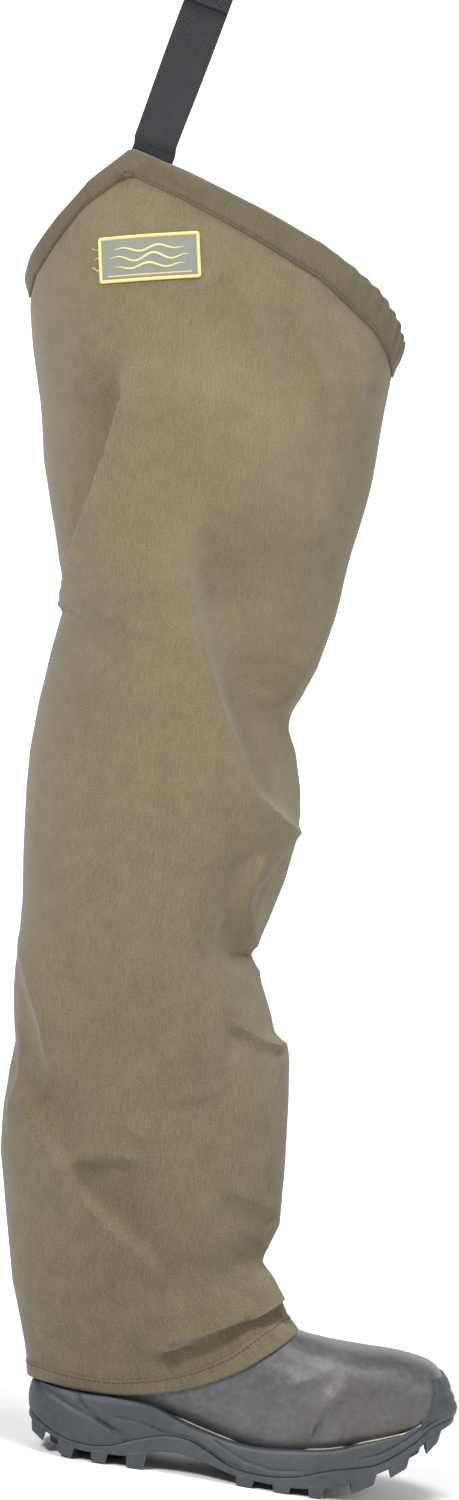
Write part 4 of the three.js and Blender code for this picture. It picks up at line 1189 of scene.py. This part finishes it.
def make_border():
    """Overlocked edge: a flat tube whose radius swells and pinches with every turn of thread,
    slanting across the edge."""
    inset = PATCH["border"] / 2
    half_width, half_height = PATCH["width"] / 2 - inset, PATCH["height"] / 2 - inset
    outline = rounded_rectangle(half_width, half_height, BORDER_CORNER, BORDER_STEP)
    path, normal = patch_point(outline[:, 0], outline[:, 1], 0.9)
    turn = np.linspace(0, 2 * math.pi, BORDER_SIDES, endpoint=False)[None, :]
    turns = round(len(path) * BORDER_STEP / BORDER_TURN)
    travelled = (np.arange(len(path)) / len(path) * turns)[:, None]
    wave = np.sin(2 * math.pi * travelled + 1.2 * np.cos(turn))
    radius = BORDER_RADIUS + BORDER_SWELL * wave
    forward = unit(np.roll(path, -1, axis=0) - np.roll(path, 1, axis=0))
    side = unit(np.cross(forward, normal))
    points = (path[:, None] + side[:, None] * (np.cos(turn) * radius)[..., None]
              + normal[:, None] * (np.sin(turn) * radius * 0.55)[..., None])
    border = mesh_piece("label_edge_thread", points,
                        grid_faces(len(path), BORDER_SIDES, around=True, ends=True))
    return place(border, "wader", "label_edge", YELLOW_THREAD, "label_border")


def make_motif():
    """A generic ripple sewn in yellow: three wavy satin lines, and a short bar under them."""
    lines = []
    for k, (level, height, span) in enumerate([(6.5, 1.9, 24), (0.5, 2.6, 27), (-5.5, 1.9, 24)]):
        across = np.linspace(-span, span, 150)
        fade = np.cos(across / span * math.pi / 2) ** 0.5
        upward = level + height * np.sin(across / 4.2 + k * 0.9) * fade
        path, normal = patch_point(across, upward, 1.15)
        thread = 0.78 * np.maximum(fade, 0.3) * (1 + 0.1 * np.sin(across * 9))
        lines.append(tube("satin_line", path, thread, 8, 0.55, up=normal))
    across = np.linspace(-29, 29, 90)
    path, normal = patch_point(across, np.full(90, -11.6), 1.1)
    lines.append(tube("satin_line", path, 0.42, 6, 0.6, up=normal))
    motif = joined("label_ripple", lines)
    shade(motif, None)
    return place(motif, "wader", "label_edge", YELLOW_THREAD)


def make_loose_ends():
    """Thread ends that stand off the label's rear edge."""
    ends = []
    for upward, reach, rise in [(7.5, 4.5, 1.8), (2.0, 3.2, -1.4), (-6.5, 5.0, 2.6), (-7.6, 3.6, 3.8)]:
        t = np.linspace(0, 1, 9)
        across = -PATCH["width"] / 2 + 0.6 - reach * t
        path, _ = patch_point(across, upward + rise * t * t, 0.7 + 1.6 * t - 1.2 * t * t)
        ends.append(tube("end", path, 0.24 - 0.1 * t, 6))
    ends = joined("label_thread_ends", ends)
    shade(ends, None)
    return place(ends, "wader", "label_edge", YELLOW_THREAD)


make_patch()
make_border()
make_motif()
make_loose_ends()

# ---- The boot's upper -------------------------------------------------------------------------

welt_top = height_curve([
    [-5, 48], [36, 46], [62, 46.5], [87, 44.5], [105, 38], [122, 33], [143, 28.5], [164, 27.5],
    [188, 30], [215, 34], [238, 41.5], [258, 48], [274, 56], [285, 63], [303, 70],
])
tread_line = height_curve([
    [-5, 29], [14, 19], [28, 14], [46, 12], [62, 14], [78, 20], [94, 25], [106, 26.5], [118, 25],
    [132, 19], [145, 13], [160, 10.5], [176, 10.5], [195, 13.5], [214, 20], [232, 24], [248, 28],
    [263, 37], [275, 46], [285, 56], [303, 62],
])
tread_underside = height_curve([
    [-5, 23], [14, 15], [38, 7.5], [66, 7.5], [84, 9.5], [97, 14], [114, 14.5], [132, 11],
    [150, 6.5], [170, 5], [196, 5], [224, 10], [247, 20], [264, 29], [276, 39], [290, 51], [303, 57],
])
lug_curve = height_curve([
    [-5, 15], [8, 11], [22, 4], [36, 0], [46, 0], [90, 0], [150, 0], [160, 0], [214, 0],
    [224, 1.5], [240, 9.5], [262, 21], [280, 34], [294, 48], [303, 54],
])
SHAFT_TOP = 230
UPPER_WALL = 3

FLEX_FOLDS = [
    fold([[199, 37], [201, 50], [206, 60], [213, 67], [224, 76]], 1.0, 6, 2.0, valley=1.6,
         valley_width=4.0, start=0.15, end=0.3, sharp=1.3),
    fold([[206, 104], [214, 92], [224, 82]], 0.5, 9, 7, valley=0.8, valley_width=9, start=0.3,
         end=0.4, sharp=1.6),
    fold([[258, 92], [263, 82], [268, 70]], 0.4, 9, 9, start=0.4, end=0.4, sharp=1.8),
    fold([[178, 70], [190, 78], [206, 84]], 0.5, 10, 8, valley=0.7, valley_width=10, start=0.4,
         end=0.4, sharp=1.8),
]


def make_upper():
    """The foot's skin: at each section it runs from the welt on one side over the instep to the
    welt on the other, and closes to a full ring up the shaft. Rubber creases where the toes
    bend."""
    station = np.concatenate([np.linspace(0, 9.5, 130, endpoint=False), np.linspace(9.5, 14.6, 50)])
    trial = np.linspace(0, math.pi, 241)
    probe = boot_point(station[:, None], trial[None, :])
    sunk = probe[..., 2] < welt_top(probe[..., 0]) - 5
    first = np.where(sunk.any(axis=1), sunk.argmax(axis=1), 240)
    limit = np.maximum(trial[first], 0.25)
    share = np.linspace(-1, 1, 141)[None, :]
    angle = share * limit[:, None]
    points = boot_point(station[:, None], angle)
    points[..., 2] = np.minimum(points[..., 2], SHAFT_TOP)
    x, z = points[..., 0], points[..., 2]
    swell = sum(fold_height(one, x, z) for one in FLEX_FOLDS)
    outer = smooth((points[..., 2] - welt_top(x) - 2) / 12) * np.abs(np.sin(angle)) ** 0.5
    points[..., 1] += np.sign(np.sin(angle)) * swell * outer
    uv = np.stack(np.broadcast_arrays(share * 0.12, station[:, None] * 0.02), axis=-1)
    upper = mesh_piece("boot_upper_skin", points, grid_faces(*x.shape), uv)
    thicken(upper, UPPER_WALL)
    return place(upper, "wader", "upper_rubber", UPPER_RUBBER, "boot_upper")


# ---- The sole ---------------------------------------------------------------------------------

SOLE_PLAN = through_points([
    [0, 0], [6, -21], [28, -36], [62, -41], [100, -42], [140, -48], [180, -55], [214, -57],
    [246, -51], [274, -37], [294, -19], [302, 4], [296, 24], [276, 41], [246, 50], [212, 51],
    [180, 47], [140, 41], [100, 39], [62, 39], [28, 34], [6, 20],
], True, 40)
HEEL_TIP, TOE_TIP = SOLE_PLAN[:, 0].argmin(), SOLE_PLAN[:, 0].argmax()


def plan_side(points):
    points = points[np.argsort(points[:, 0])]
    return lambda x: np.interp(x, points[:, 0], points[:, 1])


def plan_between(first, last):
    """The part of the sole's plan that runs from one of its points to another."""
    count = (last - first) % len(SOLE_PLAN) + 1
    return plan_side(np.roll(SOLE_PLAN, -first, axis=0)[:count])


OUTER_EDGE = plan_between(HEEL_TIP, TOE_TIP)
INNER_EDGE = plan_between(TOE_TIP, HEEL_TIP)
SOLE_ENDS = SOLE_PLAN[HEEL_TIP, 0], SOLE_PLAN[TOE_TIP, 0]


def sole_outline(count):
    """The sole's outline with points packed towards heel and toe, and its outward normals."""
    half = count // 2
    step = (1 - np.cos(np.linspace(0, math.pi, half, endpoint=False))) / 2
    x = mix(SOLE_ENDS[0], SOLE_ENDS[1], step)
    outer = np.stack([x, OUTER_EDGE(x)], axis=1)
    back = mix(SOLE_ENDS[1], SOLE_ENDS[0], step)
    inner = np.stack([back, INNER_EDGE(back)], axis=1)
    path = np.concatenate([outer, inner])
    path = resampled(np.concatenate([path, path[:1]]), count + 1)[:-1]
    ahead = unit(np.roll(path, -2, axis=0) - np.roll(path, 2, axis=0))
    return path, np.stack([ahead[:, 1], -ahead[:, 0]], axis=1)


SOLE_CENTRE = np.array([150.0, -3.0])
CAP_RINGS = np.array([0.0, 0.2, 0.4, 0.58, 0.72, 0.84, 0.93])


def sole_layer(name, low, high, side_profile, count=420):
    """A layer of the sole: rings spread from its middle under it, climb its side, and close to
    the middle again on top. side_profile(share, x, z) is how far the side stands out."""
    outline, normal = sole_outline(count)
    share = np.linspace(0, 1, 26)
    rows = []
    for reach in CAP_RINGS:
        flat = SOLE_CENTRE + (outline - SOLE_CENTRE) * reach
        rows.append(np.column_stack([flat, low(flat[:, 0])]))
    for t in share:
        z = mix(low(outline[:, 0]), high(outline[:, 0]), t)
        out = side_profile(t, outline[:, 0], z)
        rows.append(np.column_stack([outline + normal * out[:, None], z]))
    for reach in CAP_RINGS[::-1]:
        flat = SOLE_CENTRE + (outline - SOLE_CENTRE) * reach
        rows.append(np.column_stack([flat, high(flat[:, 0])]))
    points = np.array(rows)
    return mesh_piece(name, points, grid_faces(len(rows), count, around=True), sharp=42)


def groove(points, depth, width):
    return fold(points, depth, width, width, start=0.08, end=0.08, sharp=2.0)


SIDE_GROOVES = [
    groove([[-3, 50], [5, 46], [30, 37], [53, 29], [80, 19]], 1.9, 1.3),
    groove([[30, 48], [40, 38], [51, 31], [76, 15]], 1.9, 1.3),
    groove([[86, 31], [99, 28], [116, 27], [128, 22], [142, 15], [157, 12]], 1.6, 1.2),
    groove([[112, 36], [126, 32], [140, 25], [156, 18], [176, 15], [200, 18]], 1.2, 1.1),
    groove([[60, 34], [78, 33], [92, 30]], 1.2, 1.1),
    groove([[232, 30], [250, 36], [266, 46], [280, 57], [291, 66]], 1.3, 1.1),
]


def make_midsole():
    def side(t, x, z):
        """Slightly crowned wall with rolled top and bottom edges and cut panel lines."""
        crown = 0.9 * math.sin(math.pi * t) ** 0.8 if 0 < t < 1 else 0.0
        roll = -1.1 * smooth((t - 0.9) / 0.1) - 0.9 * smooth((0.08 - t) / 0.08)
        cut = sum(fold_height(one, x, z) / FOLD_DEPTH for one in SIDE_GROOVES)
        heel_swell = 0.8 * smooth((40 - x) / 40) * math.sin(math.pi * t)
        return crown + roll + heel_swell - 0.9 - cut

    layer = sole_layer("midsole_wall", tread_line, welt_top, side)
    return place(layer, "wader", "sole_rubber", SOLE_RUBBER, "midsole")


def make_welt_line():
    """The pale line of flash where the upper meets the sidewall, broken here and there."""
    outline, normal = sole_outline(600)
    runs = [(104, 150, 0.55), (196, 226, 0.5), (229, 268, 0.62), (271, 287, 0.4)]
    parts = []
    for side in (-1, 1):
        for start, end, fat in runs:
            keep = (outline[:, 0] > start) & (outline[:, 0] < end) & (side * outline[:, 1] > 0)
            flat = outline[keep][np.argsort(outline[keep, 0])]
            out = normal[keep][np.argsort(outline[keep, 0])]
            x = flat[:, 0]
            z = welt_top(x) + 0.25
            half, shift = boot_half_width(x, z + 0.6)
            y = shift + side * np.minimum(half + 0.2, np.abs(flat[:, 1] - out[:, 1]))
            path = np.stack([x, y, z], axis=1)
            fade = smooth(np.linspace(0, 6, len(x))) * smooth(np.linspace(6, 0, len(x)))
            parts.append(tube("flash", path, fat * np.maximum(fade, 0.15), 8))
    line = joined("welt_line", parts)
    shade(line, None)
    return place(line, "wader", "sole_rubber", TRIM_RUBBER)


EDGE_LUGS = [[10, 12], [31, 13], [55, 13], [81, 15], [158, 14], [184, 14], [208, 12], [240, 18],
             [264, 14], [286, 11]]
MIDDLE_LUGS = [[24, 13], [44, 13], [66, 13], [171, 14], [197, 14], [225, 15], [252, 14], [274, 12]]
EDGE_LUG_REACH = 24
MIDDLE_LUG_HALF = 11
LUG_TAPER = 1.5
LUG_ROOT = 2.2  # how far a lug reaches up into the slab
LUG_EDGE_RADIUS = 1.1


def lug_boxes():
    """Corners of every lug: top and bottom rectangles whose outer sides follow the sole's edge,
    the bottom drawn in by the taper."""
    boxes = []
    for centre, length in EDGE_LUGS:
        ends = np.array([centre - length / 2, centre + length / 2])
        ends = np.clip(ends, SOLE_ENDS[0] + 1.2, SOLE_ENDS[1] - 1.2)
        for edge, side in ((OUTER_EDGE, -1), (INNER_EDGE, 1)):
            outer = edge(ends) - side * 0.9
            inner = np.full(2, side * (abs(edge(centre)) - EDGE_LUG_REACH))
            inner = np.where(np.abs(outer) < np.abs(inner) + 3, outer - side * 3, inner)
            boxes.append((ends, outer, inner, side))
    for centre, length in MIDDLE_LUGS:
        ends = np.array([centre - length / 2, centre + length / 2])
        boxes.append((ends, np.full(2, -MIDDLE_LUG_HALF), np.full(2, MIDDLE_LUG_HALF), -1))
    return boxes


def make_lugs():
    corners = []
    for (x0, x1), outer, inner, side in lug_boxes():
        f0, f1 = x0 + LUG_TAPER, x1 - LUG_TAPER
        draw = side * 0.8
        root0, root1 = tread_underside(x0) + LUG_ROOT, tread_underside(x1) + LUG_ROOT
        top = [[x0, outer[0], root0], [x1, outer[1], root1], [x1, inner[1], root1],
               [x0, inner[0], root0]]
        foot = [[f0, outer[0] - draw, lug_curve(f0)], [f1, outer[1] - draw, lug_curve(f1)],
                [f1, inner[1] + draw, lug_curve(f1)], [f0, inner[0] + draw, lug_curve(f0)]]
        corners.append(top + foot)
    points = np.array(corners, float)
    points[..., 2] = np.maximum(points[..., 2], 0.0)
    one = np.array([[0, 1, 2, 3], [7, 6, 5, 4], [0, 4, 5, 1], [1, 5, 6, 2], [2, 6, 7, 3],
                    [3, 7, 4, 0]])
    faces = (one[None] + (np.arange(len(points)) * 8)[:, None, None]).reshape(-1, 4)
    lugs = mesh_piece("lugs", points, faces)
    bevel(lugs, LUG_EDGE_RADIUS, 3)
    return lugs


def make_outsole():
    def side(t, x, z):
        return np.full(x.shape, -1.2 - 0.8 * abs(2 * t - 1) ** 6)

    slab = sole_layer("tread_slab", tread_underside, lambda x: tread_line(x) - 0.35, side, 360)
    outsole = joined("lugged_outsole", [slab, make_lugs()])
    shade(outsole, 42)
    return place(outsole, "wader", "sole_rubber", SOLE_RUBBER, "outsole")


CAP_START = 276
CAP_RISE = 279  # where the cap leaves the sidewall's height
CAP_FRONT = 302
CAP_TOP = 89
cap_face = polyline([[60, 302], [67, 302], [79, 296], [90, 290.5]])


def cap_lean(x, z):
    """How far the cap's face leans back from the sole's tip at this height."""
    return (CAP_FRONT - cap_face(z)) * smooth((x - CAP_RISE) / 10)


def make_toe_bumper():
    """Cap round the toe. Each section follows the sole's edge: up its leaning face, over a
    rounded rim and back into the upper."""
    outline, normal = sole_outline(700)
    keep = outline[:, 0] > CAP_START
    order = np.argsort(outline[keep, 1])
    flat, out = outline[keep][order], normal[keep][order]
    x = flat[:, 0]
    low = welt_top(x) - 2.0
    high = mix(welt_top(x) + 3, CAP_TOP, smooth((x - CAP_RISE) / 5))
    rows = []
    for t in np.linspace(0, 1, 16):
        z = mix(low, high, t)
        lean = cap_lean(x, z)
        roll = 1.4 * smooth((t - 0.82) / 0.18) ** 2
        rib = 0.45 * math.cos(t * math.pi * 6) * smooth((t - 0.1) / 0.1) * smooth((0.8 - t) / 0.2)
        shift = np.column_stack([lean * out[:, 0] ** 2, 0 * lean])
        rows.append(np.column_stack([flat + out * (rib + 0.2 - roll) - shift, z]))
    lean = cap_lean(x, high)
    shift = np.column_stack([lean * out[:, 0] ** 2, 0 * lean])
    for back in (3.5, 7.0, 10.5):
        rows.append(np.column_stack([flat - out * (1.2 + back) - shift, high - 0.4 * back]))
    for t in (0.6, 0.0):
        rows.append(np.column_stack([flat - out * 12.4 - shift, mix(low, high, t) - 2]))
    points = np.array(rows)
    middle_first = np.broadcast_to(points[:, :1].mean(axis=0), points[:, :1].shape)
    middle_last = np.broadcast_to(points[:, -1:].mean(axis=0), points[:, -1:].shape)
    points = np.concatenate([middle_first, points, middle_last], axis=1)
    faces = grid_faces(len(points), points.shape[1], ends=True)
    bumper = mesh_piece("toe_cap_rubber", points, faces, sharp=60)
    return place(bumper, "wader", "sole_rubber", SOLE_RUBBER, "toe_bumper")


make_upper()
make_midsole()
make_welt_line()
make_outsole()
make_toe_bumper()

# ---- Strap, belt loop and buckle --------------------------------------------------------------
# The strap's own frame: height runs up the strap from its fold at the peak, across runs over its
# width, out points towards the inner side.

FOLD = np.array([-33.0, -69.491, 912.8])
STRAP_UP = unit(np.array([0.2162774, 0.0, 0.976332]))
STRAP_ACROSS = unit(np.array([0.976332, 0.0, -0.2162774]))
STRAP_OUT = np.array([0.0, 1.0, 0.0])
FOLD_TWIST = 0.2757  # turn of the width at the fold, following the leg's side
UNTWISTED = 92.0
STRAP_HALF = 16.0
WEBBING = 1.6
BAR_WRAP = 3.15  # from a bar's middle to the middle of the webbing round it
SOCKET_BAR = 132.0
PLUG_BAR = 184.1
LOOP_TOP = 104.0


def in_strap(across, out, height):
    """A point of the strap's frame, with the width turned as it is at this height."""
    turn = FOLD_TWIST * (1 - smooth(height / UNTWISTED))
    c, s = np.cos(turn), np.sin(turn)
    x, y = across * c + out * s, out * c - across * s
    return (FOLD + x[..., None] * STRAP_ACROSS + y[..., None] * STRAP_OUT
            + height[..., None] * STRAP_UP)


def tape_section():
    """Corners of the webbing's section: across in millimetres, side from -1 to 1."""
    edge = np.linspace(-1, 1, 13)
    inner = STRAP_HALF - 0.7
    face = [(k * inner, 1.0) for k in edge]
    long_edge = [(STRAP_HALF - 0.2, 0.7), (STRAP_HALF, 0.0), (STRAP_HALF - 0.2, -0.7)]
    corners = face + long_edge + [(-a, -b) for a, b in face + long_edge]
    return np.array(corners).T


def tape_rings(path, direction):
    """The section carried along a path of [out, height] points."""
    across, side = tape_section()
    normal = np.stack([-direction[:, 1], direction[:, 0]], axis=1)
    out = path[:, :1] + normal[:, :1] * side * WEBBING / 2
    height = path[:, 1:] + normal[:, 1:] * side * WEBBING / 2
    return in_strap(np.broadcast_to(across, out.shape), out, height)


def tape_mesh(name, points, travelled):
    """Closes the rings and gives them webbing coordinates: across, and distance travelled."""
    across, side = tape_section()
    uv = np.stack([np.broadcast_to(across, travelled.shape) + 100 * (side < 0), travelled],
                  axis=-1) * MM
    points = np.concatenate([points, points[:, :1]], axis=1)
    uv = np.concatenate([uv, uv[:, :1]], axis=1)
    return mesh_piece(name, points, grid_faces(*points.shape[:2]), uv, sharp=60)


def sewn_tape(name, path):
    """Webbing whose first part is the sewn end and whose rest follows a path."""
    points = tape_rings(path, unit(np.gradient(path, axis=0)))
    travelled = np.broadcast_to(along(path)[:, None] + path[0, 1], points.shape[:2])
    first, first_travelled = sewn_end(*tape_section())
    points = np.concatenate([first, points])
    travelled = np.concatenate([first_travelled, travelled])
    columns = points.shape[1]
    start, end = points[:1].mean(axis=1, keepdims=True), points[-1:].mean(axis=1, keepdims=True)
    points = np.concatenate([np.repeat(start, columns, 1), points, np.repeat(end, columns, 1)])
    return tape_mesh(name, points, np.concatenate([travelled[:1], travelled, travelled[-1:]]))


def closed_tape(name, path):
    """Webbing that runs round a closed path and meets itself."""
    direction = unit(np.roll(path[:-1], -1, axis=0) - np.roll(path[:-1], 1, axis=0))
    points = tape_rings(path[:-1], direction)
    travelled = np.broadcast_to(along(path)[:, None], (len(path), points.shape[1]))
    return tape_mesh(name, np.concatenate([points, points[:1]]), travelled)


SEWN_LENGTH = 42.0
SEWN_DEPTH = 4.15  # the webbing's middle, counted inwards from the leg's outer face
SEWN_START = 2.0
SEWN_ROWS = 12
BLEND_END = 14  # height at which the strap has left the leg; its point is computed but not used


def sewn_end(across, side):
    """The strap's lowest part lies against the inside of the leg and follows its surface."""
    depth = np.linspace(SEWN_LENGTH, SEWN_START, SEWN_ROWS)[:, None]
    level = in_strap(across + 0 * depth, 0 * across * depth, 0 * across - depth)
    offset = np.broadcast_to(-SEWN_DEPTH - side * WEBBING / 2, level.shape[:2])
    points, _ = surface_at(level[..., 0], level[..., 2], offset)
    return points, np.broadcast_to(-depth, level.shape[:2])


def make_strap():
    """One length of webbing: sewn inside the peak, up to the socket's bar, round it and back."""
    turn = np.linspace(0, math.pi, 9)
    wrap = [[BAR_WRAP * math.cos(a), SOCKET_BAR + BAR_WRAP * math.sin(a)] for a in turn]
    rise = [[0, h] for h in (3, 8, 16, 26, 38, 50, 62, 74, 86, 96, 104, 110)]
    path = rise + [[0.3, 118], [1.6, 124], [3.05, 129]] + wrap
    path = path + [[-3.05, 129], [-2.4, 124], [-2.05, 118], [-1.95, 110], [-1.95, 103]]
    strap = sewn_tape("strap_webbing_length", through_points(path, False, 3))
    strap.data.materials.append(STRAP_WEAVE)
    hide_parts("strap_sewn_end", "strap_riser")
    tuple(strap_world(-SEWN_START))
    tuple(strap_world(BLEND_END))
    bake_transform(strap)
    return strap


def strap_world(height):
    """A point on the strap's middle line, in the frame's metres."""
    spot = in_strap(np.array(0.0), np.array(0.0), np.array(float(height)))
    return (spot + np.array([HEEL_X, 0, 0])) * MM


BOX_SPACING = 2.4
BOX_HALF_WIDTH = 12.5


def box_stitches(name, heights, outs, body):
    """A sewn box with a cross: rows of thread on both faces of the doubled webbing."""
    low, high = heights
    half = BOX_HALF_WIDTH
    corners = [(-half, low), (half, low), (half, high), (-half, high)]
    runs = [(corners[i], corners[(i + 1) % 4]) for i in range(4)]
    runs += [(corners[0], corners[2]), (corners[1], corners[3])]
    middles, ahead, up = [], [], []
    for out in outs:
        for (x0, z0), (x1, z1) in runs:
            count = int(math.hypot(x1 - x0, z1 - z0) / BOX_SPACING)
            t = (np.arange(count) + 0.5) / count
            across, height = mix(x0, x1, t), mix(z0, z1, t)
            spot = in_strap(across, np.full(count, out), height)
            step = in_strap(across + (x1 - x0) / 90, np.full(count, out), height + (z1 - z0) / 90)
            middles.append(spot)
            ahead.append(step - spot)
            up.append(np.broadcast_to(STRAP_OUT * math.copysign(1, out), spot.shape))
    thread = many_stitches(name, np.concatenate(middles), np.concatenate(ahead),
                           np.concatenate(up), 2.0, 0.3)
    place(thread, body, "webbing", STRAP_THREAD)


def make_belt_loop():
    """Closed loop of webbing: round the plug's bar, pinched to a neck, then open for a belt."""
    turn = np.linspace(math.pi, 2 * math.pi, 9)
    wrap = [[BAR_WRAP * math.cos(a), BAR_WRAP * math.sin(a)] for a in turn]
    side = [[2.6, 3.6], [1.3, 6.5], [0.975, 9], [0.975, 16], [0.975, 24], [0.975, 32],
            [0.975, 40], [0.975, 45], [1.5, 48.5], [4.2, 54], [7.6, 61], [9.4, 69], [9.8, 77],
            [9.8, 86], [9.3, 94], [7.0, 100.5], [3.4, 103.3]]
    path = wrap + side + [[0.0, LOOP_TOP]] + [[-x, z] for x, z in side[::-1]]
    path = through_points(path, True, 3)
    path = np.concatenate([path, path[:1]])
    path[:, 1] = path[:, 1] + PLUG_BAR
    loop = closed_tape("belt_loop_length", path)
    place(loop, "loop", "webbing", STRAP_WEAVE, "belt_loop")


def moulded_copy(name, node, body, width):
    """A CAD node's form with its hard edges rounded as a moulding's are."""
    piece = bpy.data.objects.new(name, bpy.data.objects[node].data.copy())
    piece.data.name = name
    bpy.context.scene.collection.objects.link(piece)
    clean(piece, 1e-5)
    flatten(piece)
    bevel(piece, width)
    place(piece, body, "buckle_plastic", BUCKLE_PLASTIC, node)


def flatten(piece):
    """Joins the triangles of each flat face into one face."""
    soft = bmesh.new()
    soft.from_mesh(piece.data)
    bmesh.ops.dissolve_limit(soft, angle_limit=math.radians(1), verts=soft.verts,
                             edges=soft.edges)
    soft.to_mesh(piece.data)
    soft.free()


make_strap()
make_belt_loop()
box_stitches("strap_box_stitching", (104, 124), (1.02, -2.9), "strap")
box_stitches("loop_box_stitching", (PLUG_BAR + 12, PLUG_BAR + 42), (1.95, -1.95), "loop")
for name, node, body, width in [
        ("socket_moulding", "buckle_socket", "socket", 0.35),
        ("plug_moulding", "buckle_plug", "plug", 0.35),
        ("prong_front_moulding", "prong_front", "front_prong", 0.2),
        ("prong_rear_moulding", "prong_rear", "rear_prong", 0.2),
        ("keeper_moulding", "keeper", "slider", 0.35)]:
    moulded_copy(name, node, body, width)

# ---- Carried-over nodes and their materials ---------------------------------------------------

for node, finish in [("steel_shank", SHANK_STEEL), ("toe_puff", BOARD), ("heel_counter", BOARD),
                     ("boot_lining", LINING_KNIT), ("footbed", FOOTBED_KNIT),
                     ("shaft_collar", COLLAR_RUBBER)]:
    dress(node, finish)
